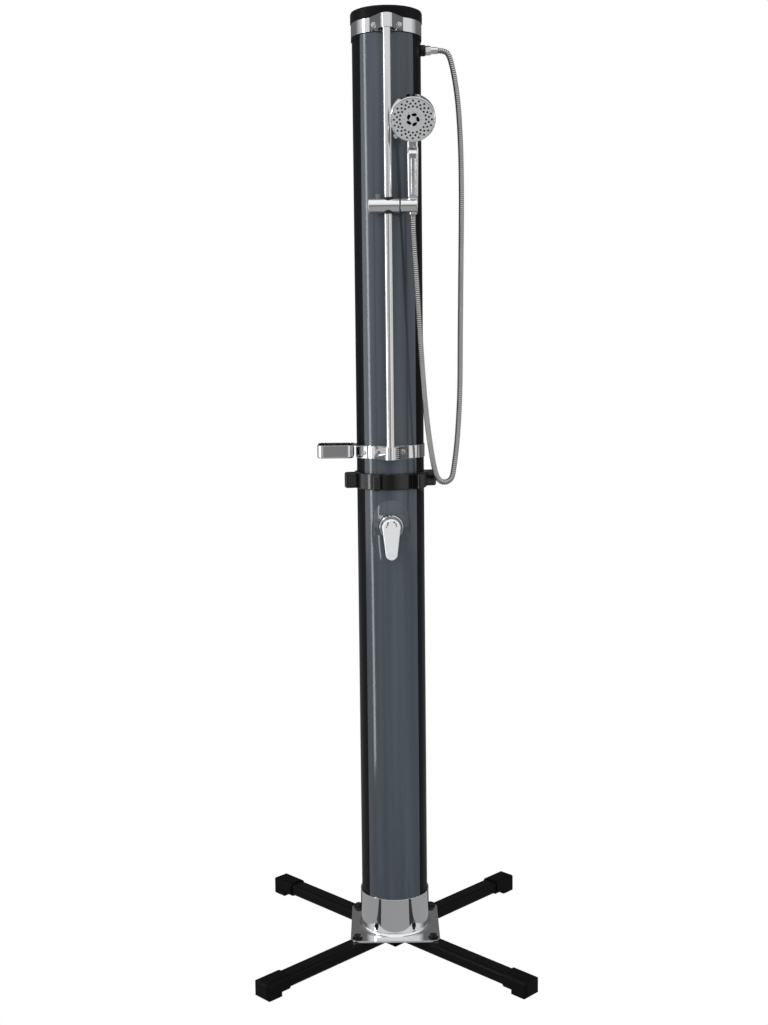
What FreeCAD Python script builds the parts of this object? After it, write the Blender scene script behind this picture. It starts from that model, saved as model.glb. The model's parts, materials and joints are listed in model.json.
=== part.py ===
import FreeCAD, Part
import math
import operator
import os

import Sketcher
from FreeCAD import Placement, Rotation, Vector

# An outdoor shower post: two black water tanks joined by a screwed ring, standing on a chromed
# flange over crossed legs, with a rail, a sliding holder, a hand shower on a hose, a soap dish
# and a lever mixer. Millimetres, Z up, front towards -Y, origin on the floor under the column.

SIZES = [
    # the whole post
    ("post_height", 2155.5, "floor to the top of the cap"),
    ("seat_gap", 0.2, "clearance of pieces that are fixed together"),
    ("run_gap", 0.35, "clearance of pieces that move"),
    # column
    ("tube_od", 155, "outside of both tanks"),
    ("tube_wall", 5, "wall of both tanks"),
    ("cover_wall", 2.4, "thickness of the front covers"),
    ("cover_span", 98.6, "degrees of the column that the front covers take"),
    # legs and feet
    ("leg_reach", 418, "column axis to the outer end of a foot"),
    ("leg_turn", 45, "degrees between a leg and the front"),
    ("leg_width", 40, "width of the leg tube"),
    ("leg_height", 28, "height of the leg tube"),
    ("leg_wall", 2, "wall of the leg tube"),
    ("leg_corner", 8, "corner radius of the leg tube"),
    ("leg_lift", 8, "floor to the underside of the leg tube"),
    ("foot_length", 66, "length of a foot cap"),
    ("foot_wall", 3.2, "wall of a foot cap"),
    ("foot_round", 7, "rounding of a foot cap's closed end"),
    ("foot_end", 7, "thickness of a foot cap's closed end"),
    ("sole_length", 41, "length of the sole under a foot cap"),
    ("gusset_side", 84, "side of the square plate under the crossing"),
    ("gusset_wall", 3, "thickness of that plate"),
    # chromed base
    ("plate_side", 208, "side of the base plate"),
    ("plate_wall", 4, "thickness of the base plate"),
    ("plate_corner", 18, "corner radius of the base plate"),
    ("sleeve_height", 88, "height of the sleeve over the plate"),
    ("sleeve_wall", 3.2, "wall of the sleeve"),
    ("weld_leg", 8, "weld between sleeve and plate"),
    ("bolt_pitch", 176, "distance between the base bolts"),
    ("bolt_size", 10, "diameter of the base bolts"),
    ("bolt_flats", 16, "across the flats of their heads and nuts"),
    ("bolt_head", 6.5, "height of their heads"),
    ("bolt_nut", 8, "height of their nuts"),
    ("washer_od", 24, "outside of their washers"),
    ("washer_wall", 2, "thickness of their washers"),
    ("plug_wall", 6, "thickness of the bottom plug"),
    ("plug_rim", 18, "height of the bottom plug"),
    # union between the tanks
    ("union_z", 1087.5, "height of the union ring's underside"),
    ("union_height", 37, "height of the union ring"),
    ("union_rise", 6.5, "column to the outside of the union ring between its lobes"),
    ("collar_rise", 3, "column to the outside of the tanks' collars in the ring"),
    ("collar_height", 15, "height of the lower tank's threaded collar"),
    ("flange_wall", 5.5, "thickness of the upper tank's flange"),
    ("seal_wall", 3, "thickness of the flat seal"),
    ("lobe_count", 6, "grip lobes round the union ring"),
    ("lobe_start", -78.5, "degrees from the front to the first lobe"),
    ("lobe_reach", 107.5, "column axis to a lobe's face"),
    ("lobe_width", 17, "width of a lobe"),
    ("lobe_round", 5, "rounding of a lobe's edges"),
    # top cap
    ("cap_rise", 3.3, "column to the outside of the cap's head"),
    ("cap_head", 25.7, "height of the cap's head"),
    ("cap_lip", 8, "height of the lip that laps the tank"),
    ("cap_wall", 3, "wall of the cap"),
    ("cap_plug", 12, "depth of the plug inside the tank"),
    ("cap_round", 5, "rounding of the cap's top edge"),
    # brackets and rail
    ("band_wall", 1.7, "thickness of the bracket bands"),
    ("upper_band", 30, "height of the upper bracket"),
    ("lower_band", 29, "height of the lower bracket"),
    ("lower_band_z", 1158.5, "height of the lower bracket's underside"),
    ("flank_wall", 1.8, "thickness of the brackets' flanks"),
    ("rail_od", 19, "outside of the rail"),
    ("rail_wall", 1.2, "wall of the rail"),
    ("rail_reach", 105, "column axis to the rail's axis"),
    ("socket_wall", 3.2, "wall of the brackets' rail sockets"),
    ("socket_floor", 4, "closed end of each socket"),
    ("screw_spread", 56, "distance between a bracket's two screws"),
    ("screw_size", 4, "diameter of the bracket screws"),
    ("screw_head", 8.6, "diameter of their heads"),
    ("boss_od", 11, "screw bosses on the brackets"),
    # soap dish
    ("dish_width", 83, "soap dish from side to side"),
    ("dish_depth", 100, "soap dish from front to back"),
    ("dish_height", 29.5, "height of the soap dish"),
    ("dish_wall", 2.5, "wall of the soap dish"),
    ("dish_corner", 15, "corner radius of the soap dish"),
    ("dish_edge", 167, "column axis to the dish's outer side"),
    ("dish_slots", 5, "drain slots in the dish"),
    ("slot_width", 4, "width of a drain slot"),
    ("dish_screw_turn", -46.5, "degrees from the front to the dish's screw"),
    # slider and holder
    ("slider_z", 1718.8, "height of the slider's axis"),
    ("slider_od", 33.4, "outside of the slider and holder"),
    ("slider_left", 44, "rail axis to the slider's free end"),
    ("slider_right", 24.5, "rail axis to the slider's other end"),
    ("holder_gap", 3, "dark washer between slider and holder"),
    ("holder_length", 37, "length of the holder"),
    ("cone_reach", 54.3, "rail axis to the holder's cone"),
    ("cone_top", 12.6, "radius of the cone at its top"),
    ("cone_bottom", 10.2, "radius of the cone at its bottom"),
    ("holder_slot", 15, "width of the holder's open slot"),
    ("bush_wall", 2.6, "wall of the slider's bush"),
    ("bush_height", 36, "height of the slider's bush"),
    ("axle_od", 12, "stub axle of the holder"),
    ("axle_length", 9, "length of that axle, washer included"),
    ("button_od", 12, "release button"),
    ("button_reach", 26, "height of the button's top over the slider's axis"),
    ("button_place", 22, "rail axis to the button's axis"),
    ("spring_wall", 1.2, "thickness of the button's spring"),
    # hand shower, in its own frame: Z along the handle, origin at the holder's axis
    ("tilt", 12, "degrees that the handle leans forward"),
    ("face_tilt", 14, "degrees between the spray face and the handle"),
    ("face_reach", 183.5, "holder's axis to the face's centre, along the handle"),
    ("face_offset", 22, "handle's axis to the face's centre"),
    ("head_od", 98, "outside of the selector ring"),
    ("ring_depth", 9, "depth of the selector ring"),
    ("ring_wall", 3, "wall of the selector ring"),
    ("face_wall", 2.6, "thickness of the face plate"),
    ("head_depth", 35, "depth of the whole head"),
    ("head_wall", 3, "wall of the head"),
    ("nozzle_od", 3.8, "diameter of a nozzle"),
    ("nozzle_count", 20, "nozzles in each ring"),
    ("handle_top", 124.5, "top of the grip along the handle"),
    ("grip_width", 25.4, "width of the grip at its top"),
    ("grip_depth", 22, "depth of the grip at its top"),
    ("grip_foot", 23.8, "width and depth of the grip at its foot"),
    ("flute_od", 5, "cutter of the two flutes down the grip"),
    ("flute_spread", 9.2, "distance between the flutes"),
    ("water_way", 8, "bore through the handle"),
    # hose and its fittings
    ("hose_od", 13, "outside of the hose"),
    ("hose_bore", 8, "bore of the hose"),
    ("hose_ribs", 190, "ribs along the hose"),
    ("rib_depth", 0.7, "depth of the groove between ribs"),
    ("ferrule_od", 15.6, "outside of the crimped ferrules"),
    ("ferrule_length", 15.5, "length of the outlet's ferrule"),
    ("hose_seat", 9, "depth of the hose inside a ferrule"),
    ("hex_flats", 19, "across the flats of the outlet nut"),
    ("hex_length", 12, "length of the outlet nut"),
    ("cone_nut_length", 36, "length of the conical nut"),
    ("outlet_drop", 83, "top of the cap to the water outlet"),
    ("loop_z", 1101.5, "height of the hose's lowest corners"),
    ("outlet_bush", 11.2, "length of the black bush at the outlet"),
    ("nipple_od", 15, "thread of the outlet nipple"),
    # mixer
    ("mixer_z", 1004.3, "height of the mixer's axis"),
    ("seat_rise", 9.5, "front of the column to the seat of the escutcheon"),
    ("blister_z", 989, "height of the middle of the cover's raised part"),
    ("blister_width", 89, "width of the cover's raised part"),
    ("blister_height", 150, "height of the cover's raised part"),
    ("shield_od", 54.4, "outside of the escutcheon ring"),
    ("shield_bore", 37, "bore of the escutcheon ring"),
    ("shield_height", 5, "height of the escutcheon ring"),
    ("valve_od", 41, "neck of the valve body"),
    ("cartridge_od", 34, "outside of the cartridge"),
    ("ball_radius", 14.5, "ball that carries the lever"),
    ("ball_rise", 6, "seat of the escutcheon to the ball's middle"),
    ("stem_od", 12, "stem behind the ball"),
    ("lever_width", 40.6, "width of the lever's head"),
    ("lever_tip", 26.6, "width of the lever's tip"),
    ("lever_length", 60, "distance between the two lever ends' centres"),
    ("lever_wall", 12, "thickness of the lever"),
    ("lever_rise", 12.5, "seat of the escutcheon to the lever's back"),
    ("pin_od", 3.5, "pin that the lever tips on"),
    ("ear_wall", 2.8, "thickness of the two ears that hold the pin"),
    ("ear_od", 8, "outside of those ears"),
    ("lever_round", 3, "rounding of the lever's edges"),
    # water ways
    ("pipe_od", 14, "outside of the inner pipes"),
    ("pipe_wall", 1.5, "wall of the inner pipes"),
    ("pipe_line", 45, "column axis to the line of the pipes"),
    ("port_spread", 28, "distance between the two upper ports"),
    ("inlet_z", 200, "height of the water inlet"),
    ("inlet_od", 20.95, "thread of the water inlet"),
    ("inlet_length", 16, "length of that thread"),
    ("drain_z", 155, "height of the drain plug"),
    ("drain_od", 14, "thread of the drain plug"),
]

# The hose hangs from the outlet in a long loop and climbs to the hand shower. Its two ends are worked
# out from their fittings. The corners between them were chosen by hand along the hanging hose: X, Y
# and the share of the height from the loop's lowest corners up to that strand's upper end.
HOSE_FALL = [
    (131.5, 0, 1),
    (142, 0, 0.9871),
    (149, 0, 0.9593),
    (156.5, -0.5, 0.9171),
    (162.5, -1, 0.8584),
    (166.5, -3, 0.7709),
    (167.2, -5, 0.6576),
    (165, -8, 0.5134),
    (162.5, -11, 0.3486),
    (161, -16, 0.2147),
    (156.5, -22, 0.1354),
    (151.5, -28.5, 0.0788),
    (145.5, -35.5, 0.0366),
    (141, -41, 0.0098),
    (130, -45.5, 0),
]
HOSE_RISE = [
    (116.5, -50.5, 0),
    (105, -56, 0.0178),
    (97.5, -60, 0.0668),
    (88.8, -65.5, 0.1531),
    (80.2, -71.5, 0.2715),
    (73.1, -78, 0.4204),
    (67.6, -83, 0.5726),
    (62.1, -87, 0.7282),
    (57, -91.8, 0.8602),
    (54.3, -95.4, 0.9407),
]


def formula(number):
    """The sheet formula of a size, or a plain number in brackets."""
    return number.formula if isinstance(number, Size) else f"({float(number)})"


class Size(float):
    """A length in millimetres that remembers the sheet formula it comes from."""

    def __new__(cls, value, text):
        size = super().__new__(cls, value)
        size.formula = text
        return size

    def __neg__(self):
        return 0 - self


def arithmetic(sign, work):
    """The two methods that let sizes be combined by one sign, with the formula kept."""

    def forward(first, second):
        return Size(work(float(first), float(second)), f"({formula(first)} {sign} {formula(second)})")

    def backward(second, first):
        return forward(first, second)

    return forward, backward


for method, sign, work in (
    ("add", "+", operator.add),
    ("sub", "-", operator.sub),
    ("mul", "*", operator.mul),
    ("truediv", "/", operator.truediv),
):
    forward, backward = arithmetic(sign, work)
    setattr(Size, f"__{method}__", forward)
    setattr(Size, f"__r{method}__", backward)

doc = FreeCAD.newDocument("shower_post")
sheet = doc.addObject("Spreadsheet::Sheet", "sizes")


class Sheet:
    """The driving dimensions, as attributes."""


S = Sheet()
for row, (alias, value, note) in enumerate(SIZES, 1):
    sheet.set(f"A{row}", note)
    sheet.set(f"B{row}", str(value))
    sheet.setAlias(f"B{row}", alias)
    setattr(S, alias, Size(value, f"sizes.{alias}"))
doc.recompute()

X_AXIS, Y_AXIS, Z_AXIS = Vector(1, 0, 0), Vector(0, 1, 0), Vector(0, 0, 1)
UP = Rotation()
FRONT = Rotation(X_AXIS, 90)
BACK = Rotation(X_AXIS, -90)
RIGHT = Rotation(Y_AXIS, 90)
FAR = 400  # longer than anything that it cuts through

PARTS = []


def spin(degrees):
    """A turn about the column's axis, from the front towards +X."""
    return Rotation(Z_AXIS, degrees)


def around(reach, degrees, z):
    """The place at a distance from the column's axis, turned from the front towards +X."""
    turn = math.radians(degrees)
    return reach * math.sin(turn), -1 * reach * math.cos(turn), z


def put(obj, spot=(0, 0, 0), heading=UP):
    """Gives an object its place, bound to the sheet, and its heading."""
    obj.Placement = Placement(Vector(*spot), heading)
    for axis, value in zip("xyz", spot):
        if isinstance(value, Size):
            obj.setExpression(f"Placement.Base.{axis}", value.formula)
    return obj


def primitive(kind, spot, heading, **sizes):
    obj = doc.addObject(f"Part::{kind}", f"{kind.lower()}_piece")
    for name, value in sizes.items():
        if isinstance(value, Size):
            obj.setExpression(name, value.formula)
        else:
            setattr(obj, name, value)
    return put(obj, spot, heading)


def cylinder(radius, height, spot=(0, 0, 0), heading=UP, angle=360):
    return primitive("Cylinder", spot, heading, Radius=radius, Height=height, Angle=angle)


def cone(bottom, top, height, spot=(0, 0, 0), heading=UP):
    return primitive("Cone", spot, heading, Radius1=bottom, Radius2=top, Height=height)


def box(length, width, height, spot=(0, 0, 0), heading=UP):
    return primitive("Box", spot, heading, Length=length, Width=width, Height=height)


def sphere(radius, spot):
    """A ball whose seam is turned away from bores along X and Y."""
    return primitive("Sphere", spot, spin(45), Radius=radius)


def torus(reach, thick, spot, heading):
    """A ring of round section, by the radius of its centre line and of its section."""
    return primitive("Torus", spot, heading, Radius1=reach, Radius2=thick, Angle1=-180, Angle2=180,
                     Angle3=360)


def prism(flats, height, spot=(0, 0, 0), heading=UP):
    """A hexagon by its width across the flats."""
    return primitive(
        "Prism", spot, heading, Polygon=6, Circumradius=flats / math.sqrt(3), Height=height
    )


def fuse(*shapes):
    obj = doc.addObject("Part::MultiFuse", "joined")
    obj.Shapes = list(shapes)
    return obj


def cut(base, *tools):
    obj = doc.addObject("Part::Cut", "remaining")
    obj.Base = base
    obj.Tool = tools[0] if len(tools) == 1 else fuse(*tools)
    return obj


def common(*shapes):
    obj = doc.addObject("Part::MultiCommon", "shared")
    obj.Shapes = list(shapes)
    return obj


def rounded(base, radius, chosen):
    """Rounds the edges of an object that the function chosen picks."""
    doc.recompute()
    obj = doc.addObject("Part::Fillet", "rounded")
    obj.Base = base
    edges = [n for n, edge in enumerate(base.Shape.Edges, 1) if chosen(edge)]
    obj.Edges = [(n, float(radius), float(radius)) for n in edges]
    return obj


def runs_along(edge, axis):
    """Whether an edge is straight and lies along an axis."""
    ends = [v.Point for v in edge.Vertexes]
    if len(ends) != 2 or edge.Curve.TypeId != "Part::GeomLine":
        return False
    return abs((ends[1] - ends[0]).normalize().dot(axis)) > 0.999


def outline(body, plane, points):
    """A closed sketch of straight lines, each corner held by its distances from the origin."""
    sketch = body.newObject("Sketcher::SketchObject", "outline")
    base = next(f for f in body.Origin.OriginFeatures if f.Role == plane)
    sketch.AttachmentSupport = [(base, "")]
    sketch.MapMode = "FlatFace"
    corners = [Vector(x, y, 0) for x, y in points]
    count = len(corners)
    for n in range(count):
        sketch.addGeometry(Part.LineSegment(corners[n], corners[(n + 1) % count]), False)
    for n in range(count):
        sketch.addConstraint(Sketcher.Constraint("Coincident", n, 2, (n + 1) % count, 1))
    for n, (x, y) in enumerate(points):
        for kind, distance, axis in (("DistanceX", x, -2), ("DistanceY", y, -1)):
            if float(distance) == 0:
                sketch.addConstraint(Sketcher.Constraint("PointOnObject", n, 1, axis))
                continue
            place = sketch.addConstraint(Sketcher.Constraint(kind, -1, 1, n, 1, float(distance)))
            if isinstance(distance, Size):
                sketch.setExpression(f"Constraints[{place}]", distance.formula)
    return sketch


def turned(points, spot=(0, 0, 0), heading=UP):
    """A turned piece: its outline in radius and height, revolved about its own Z axis."""
    body = doc.addObject("PartDesign::Body", "turned_body")
    sketch = outline(body, "XZ_Plane", points)
    revolved = body.newObject("PartDesign::Revolution", "revolved")
    revolved.Profile = sketch
    revolved.ReferenceAxis = (sketch, ["V_Axis"])
    revolved.Angle = 360
    return put(body, spot, heading)


def ring(outer, bore, height, spot=(0, 0, 0), heading=UP):
    """A plain turned ring."""
    return turned([(bore, 0), (outer, 0), (outer, height), (bore, height)], spot, heading)


def disc(outer, height, spot=(0, 0, 0), heading=UP):
    """A plain turned disc."""
    return turned([(0, 0), (outer, 0), (outer, height), (0, height)], spot, heading)


def group(*members):
    obj = doc.addObject("Part::Compound", "alike")
    obj.Links = list(members)
    return obj


def feature(shape):
    obj = doc.addObject("Part::Feature", "shaped")
    obj.Shape = shape
    obj.Placement = Placement()
    return obj


def piece(label, obj, solids=1):
    """Names a finished sub-part and says how many solids it has."""
    obj.Label = label
    PARTS.append((obj, solids))
    return obj


def route(points):
    """A wire of straight runs joined by tangent arcs through a cord's points, and the arcs' radii."""
    spots = [Vector(*p) for p in points]
    edges, radii, start = [], [], spots[0]
    for before, corner, after in zip(spots, spots[1:], spots[2:]):
        into, out = (corner - before), (after - corner)
        shorter = min(into.Length, out.Length)
        into.normalize()
        out.normalize()
        half = math.acos(max(-1.0, min(1.0, into.dot(out)))) / 2
        radius = 0.45 * shorter / math.tan(half)
        reach = radius * math.tan(half)
        first, last = corner - into * reach, corner + out * reach
        inward = (out - into).normalize()
        middle = corner + inward * (radius / math.cos(half) - radius)
        edges.append(Part.LineSegment(start, first).toShape())
        edges.append(Part.Arc(first, middle, last).toShape())
        radii.append(radius)
        start = last
    edges.append(Part.LineSegment(start, spots[-1]).toShape())
    return Part.Wire(edges), radii


def bent_rod(points, across):
    """A solid round bar along a route."""
    path, _ = route(points)
    heading = Vector(*points[1]) - Vector(*points[0])
    rim = Part.Wire(Part.Circle(Vector(*points[0]), heading, across / 2).toShape())
    return path.makePipeShell([rim], True, False)


def pipe(points, outer, wall):
    """A bent pipe of an outside diameter and a wall along a route."""
    return feature(bent_rod(points, outer).cut(bent_rod(points, outer - 2 * wall)))


# --- heights and radii that several pieces share -------------------------------------------------

tube_r = S.tube_od / 2
tube_bore = tube_r - S.tube_wall
seat_reach = tube_r + S.seat_rise
ball_reach = seat_reach + S.ball_rise
lever_back = seat_reach + S.lever_rise
rebate_r = tube_r - S.cover_wall
leg_top = S.leg_lift + S.leg_height
leg_middle = S.leg_lift + S.leg_height / 2
plate_top = leg_top + S.plate_wall
sleeve_r = tube_r + S.seat_gap + S.sleeve_wall
tank_foot = plate_top + S.seat_gap
joint_low = S.union_z + 2 + S.collar_height
joint_high = joint_low + S.seal_wall
flange_top = joint_high + S.flange_wall
head_z = S.post_height - S.cap_head
outlet_z = S.post_height - S.outlet_drop
upper_band_z = head_z - S.upper_band
lip_z = upper_band_z - S.cap_lip
tank_top = upper_band_z - 1
band_r = tube_r + S.seat_gap + S.band_wall
socket_r = S.rail_od / 2 + S.seat_gap + S.socket_wall
rail_foot = S.lower_band_z + S.socket_floor
rail_end = head_z - S.socket_floor
rail_line = -1 * S.rail_reach


# --- legs, feet and base -------------------------------------------------------------------------

def leg_bar(side, kept_low):
    """A leg tube from foot to foot, halved where the other one crosses it."""
    half = S.leg_reach - S.foot_end - S.seat_gap
    corner = (-1 * half, S.leg_width / -2, S.leg_lift)
    outside = rounded(box(2 * half, S.leg_width, S.leg_height, corner), S.leg_corner,
                      lambda e: runs_along(e, X_AXIS))
    bore = rounded(
        box(2 * half + 2, S.leg_width - 2 * S.leg_wall, S.leg_height - 2 * S.leg_wall,
            (-1 * half - 1, S.leg_wall - S.leg_width / 2, S.leg_lift + S.leg_wall)),
        S.leg_corner - S.leg_wall, lambda e: runs_along(e, X_AXIS))
    gap = S.leg_width / 2 + S.seat_gap
    notch_z = leg_middle - S.seat_gap / 2 if kept_low else S.leg_lift - 1
    notch = box(2 * gap, S.leg_width + 2, S.leg_height / 2 + S.seat_gap / 2 + 1,
                (-1 * gap, S.leg_width / -2 - 1, notch_z))
    reach = S.bolt_pitch / math.sqrt(2)
    holes = [cylinder(S.bolt_size / 2 + S.seat_gap, S.leg_height, (end * reach, 0, leg_middle))
             for end in (-1, 1)]
    bar = cut(outside, bore, notch, *holes)
    bar.Placement = Placement(Vector(), Rotation(Z_AXIS, side * (90 - S.leg_turn)))
    return bar


piece("leg_bar_a", leg_bar(1, True))
piece("leg_bar_b", leg_bar(-1, False))
gusset_half = S.gusset_side / 2
gusset = box(S.gusset_side, S.gusset_side, S.gusset_wall, (-1 * gusset_half, -1 * gusset_half, 0))
gusset = cut(gusset, cylinder(S.bolt_size / 2, S.gusset_wall + 2, (0, 0, -1)))
piece("cross_plate", put(gusset, (0, 0, S.leg_lift - S.gusset_wall), Rotation(Z_AXIS, 90 - S.leg_turn)))


def foot_cap():
    """A rubber cap at +X, pushed over the end of a leg tube, with a thicker sole at its outer end."""
    fit = S.foot_wall + S.seat_gap
    width, top = S.leg_width + 2 * fit, leg_top + fit
    low = S.leg_lift - fit
    start = S.leg_reach - S.foot_length
    sleeve = rounded(box(S.foot_length, width, top - low, (start, width / -2, low)),
                     S.leg_corner + S.foot_wall,
                     lambda e: runs_along(e, X_AXIS))
    sole_start = S.leg_reach - S.sole_length
    sole = box(S.sole_length, width, leg_middle, (sole_start, width / -2, 0))
    envelope = rounded(box(S.foot_length, width, top, (start, width / -2, 0)), S.foot_round,
                       lambda e: abs(e.BoundBox.XMin - S.leg_reach) < 0.01)
    hollow = rounded(
        box(S.foot_length - S.foot_end, S.leg_width + 2 * S.seat_gap, S.leg_height + 2 * S.seat_gap,
            (start, S.leg_width / -2 - S.seat_gap, S.leg_lift - S.seat_gap)),
        S.leg_corner, lambda e: runs_along(e, X_AXIS))
    return cut(common(fuse(sleeve, sole), envelope), hollow)


for name, side in (("front_left", 180 + S.leg_turn), ("front_right", -1 * S.leg_turn),
                   ("rear_left", 180 - S.leg_turn), ("rear_right", S.leg_turn)):
    cap = foot_cap()
    cap.Placement = Placement(Vector(), Rotation(Z_AXIS, side))
    piece(f"foot_cap_{name}", cap)

plate_half = S.plate_side / 2
plate = rounded(box(S.plate_side, S.plate_side, S.plate_wall, (-1 * plate_half, -1 * plate_half, leg_top)),
                S.plate_corner, lambda e: runs_along(e, Z_AXIS))
weld_steps = [math.radians(a) for a in (0, 20, 40, 60, 80, 90)]
weld = [(sleeve_r + S.weld_leg * (1 - math.sin(t)), S.weld_leg * (1 - math.cos(t))) for t in weld_steps]
sleeve = turned([
    (tube_r + S.seat_gap, 0), *weld, (sleeve_r, S.sleeve_height), (tube_r + S.seat_gap, S.sleeve_height),
], (0, 0, plate_top))
bolt_half = S.bolt_pitch / 2
bolt_spots = [(x * bolt_half, y * bolt_half) for x in (-1, 1) for y in (-1, 1)]
bolt_holes = [cylinder(S.bolt_size / 2 + S.seat_gap, FAR, (x, y, 0)) for x, y in bolt_spots]
drain_hole = cylinder(tube_bore / 2, FAR, (0, 0, 0))
sleeve_turns = (135, -135)
sleeve_screw_z = plate_top + S.sleeve_height / 2
screw_holes = [cylinder(S.screw_size / 2 + S.seat_gap, FAR, around(tube_bore - 10, a, sleeve_screw_z),
                        spin(a) * FRONT)
               for a in sleeve_turns]
piece("base_flange", cut(fuse(plate, sleeve), drain_hole, *bolt_holes, *screw_holes))

bolts, washers, nuts = [], [], []
nut_top = leg_top - S.leg_wall
for x, y in bolt_spots:
    head_foot = plate_top + S.washer_wall
    head = common(prism(S.bolt_flats, S.bolt_head, (x, y, head_foot)),
                  cone(S.bolt_flats * 0.56, S.bolt_flats * 0.5, S.bolt_head, (x, y, head_foot)))
    shank = cylinder(S.bolt_size / 2, head_foot - nut_top + S.bolt_nut + 2, (x, y, nut_top - S.bolt_nut - 2))
    bolts.append(fuse(head, shank))
    washers.append(ring(S.washer_od / 2, S.bolt_size / 2 + S.seat_gap, S.washer_wall, (x, y, plate_top)))
    nuts.append(cut(prism(S.bolt_flats, S.bolt_nut, (x, y, nut_top - S.bolt_nut)),
                    cylinder(S.bolt_size / 2, FAR, (x, y, 0))))
piece("base_bolts", group(*bolts), 4)
piece("base_washers", group(*washers), 4)
piece("base_nuts", group(*nuts), 4)


def pan_screw(length, spot, heading):
    """A pan-head screw whose head starts at its spot and whose shank goes back from there."""
    head_r, shank_r = S.screw_head / 2, S.screw_size / 2
    return turned([
        (0, -1 * length), (shank_r, -1 * length), (shank_r, 0), (head_r, 0), (head_r, 1),
        (head_r * 0.75, 2.2), (head_r * 0.35, 2.2), (head_r * 0.35, 1.2), (0, 1.2),
    ], spot, heading)


piece("sleeve_screws", group(*[
    pan_screw(S.sleeve_wall + S.tube_wall, around(sleeve_r, a, sleeve_screw_z), spin(a) * FRONT)
    for a in sleeve_turns]), 2)


# --- tanks, covers and union ---------------------------------------------------------------------

def sector(outer, inner, z, height, span):
    """A piece of a ring centred on the front."""
    start = spin(-90 - span / 2)
    return cut(cylinder(outer, height, (0, 0, z), start, span), cylinder(inner, height + 2, (0, 0, z - 1)))


rebate_span = S.cover_span + 0.4
cover_foot = tank_foot + 4
lower_cover_top = S.union_z + 1
upper_cover_foot = flange_top + 1
upper_cover_top = upper_band_z - 1.4
valve_hole = cylinder(S.valve_od / 2 + S.seat_gap, FAR / 4, (0, 0, S.mixer_z), FRONT)
inlet_hole = cylinder(S.inlet_od / 2 + S.seat_gap, FAR, (0, 0, S.inlet_z), BACK)
drain_bore = cylinder(S.drain_od / 2 + S.seat_gap, FAR, (0, 0, S.drain_z), BACK)

collar_r = tube_r + S.collar_rise
lower_tube = turned([
    (tube_bore, tank_foot), (tube_r, tank_foot), (tube_r, joint_low - S.collar_height),
    (collar_r, joint_low - S.collar_height), (collar_r, joint_low), (tube_bore, joint_low),
])
lower_rebate = sector(tube_r + 1, rebate_r, cover_foot - 0.2, lower_cover_top - cover_foot + 0.4, rebate_span)
piece("lower_tank", cut(lower_tube, lower_rebate, valve_hole, inlet_hole, drain_bore, *screw_holes))
plug_r = tube_bore - S.seat_gap
piece("lower_tank_plug", turned([
    (0, tank_foot), (plug_r, tank_foot), (plug_r, tank_foot + S.plug_rim),
    (plug_r - S.plug_wall, tank_foot + S.plug_rim), (plug_r - S.plug_wall, tank_foot + S.plug_wall),
    (0, tank_foot + S.plug_wall),
]))

upper_tube = turned([
    (tube_bore, joint_high), (collar_r, joint_high), (collar_r, flange_top),
    (tube_r, flange_top), (tube_r, tank_top), (tube_bore, tank_top),
])
upper_rebate = sector(tube_r + 1, rebate_r, upper_cover_foot - 0.2, tank_top + 1 - upper_cover_foot,
                      rebate_span)
outlet_hole = cylinder(S.nipple_od / 2 + S.seat_gap, FAR, (0, 0, outlet_z), RIGHT)
screw_half = S.screw_spread / 2
lower_screw_z = S.lower_band_z + S.lower_band / 2 + 2
upper_screw_z = upper_band_z + S.upper_band / 3
dish_screw_z = S.lower_band_z + S.lower_band / 2 - 2
lower_holes = [cylinder(S.screw_size / 2 + S.seat_gap, FAR, (side * screw_half, 0, lower_screw_z), FRONT)
               for side in (-1, 1)]
dish_hole = cylinder(S.screw_size / 2 + S.seat_gap, FAR,
                     around(tube_bore - 10, S.dish_screw_turn, dish_screw_z),
                     spin(S.dish_screw_turn) * FRONT)
piece("upper_tank", cut(upper_tube, upper_rebate, outlet_hole, *lower_holes, dish_hole))

cover_in = rebate_r + S.seat_gap
piece("upper_cover", cut(sector(tube_r, cover_in, upper_cover_foot, upper_cover_top - upper_cover_foot,
                                S.cover_span),
                         *lower_holes, dish_hole))
skin = S.cover_wall + 0.3
blister_front = 5  # how far the round of the raised seat would stand over its flat
blister_depth = seat_reach + blister_front - math.cos(math.asin(S.blister_width / S.tube_od)) * tube_r
round_across = (S.blister_width**2 / 4 + blister_depth**2) / (2 * blister_depth)
rise = seat_reach + blister_front - tube_r
round_along = (S.blister_height**2 / 4 + rise**2) / (2 * rise)
blister_spot = (0, round_along - seat_reach - blister_front, S.blister_z)


def bulge(thick, front):
    """The part of the big ring in front of the column that is behind a plane."""
    low = S.blister_z - S.blister_height / 2 - 20
    window = box(FAR, FAR / 8, S.blister_height + 40, (FAR / -2, -1 * front, low))
    return common(torus(round_along - round_across, thick, blister_spot, RIGHT), window)


pad_foot, pad_face, pad_depth = S.shield_od * 0.72, S.shield_od / 2 + 2.5, 9
seat_pad = cone(pad_foot, pad_face, pad_depth, (0, pad_depth - seat_reach, S.mixer_z), FRONT)
pad_hollow = cone(pad_foot - skin, pad_face - skin, pad_depth, (0, pad_depth + skin - seat_reach, S.mixer_z),
                  FRONT)
panel_height = lower_cover_top - cover_foot
cover_panel = cylinder(tube_r, panel_height, (0, 0, cover_foot), spin(-90 - S.cover_span / 2), S.cover_span)
behind = cylinder(cover_in, FAR * 3, (0, 0, cover_foot - 10))
piece("lower_cover", cut(fuse(cover_panel, bulge(round_across, seat_reach - 0.5), seat_pad),
                         bulge(round_across - skin, seat_reach - skin - 0.8), pad_hollow, behind, valve_hole))

seal_r = collar_r
piece("union_seal", ring(seal_r, tube_bore + 1, S.seal_wall, (0, 0, joint_low)))

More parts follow.
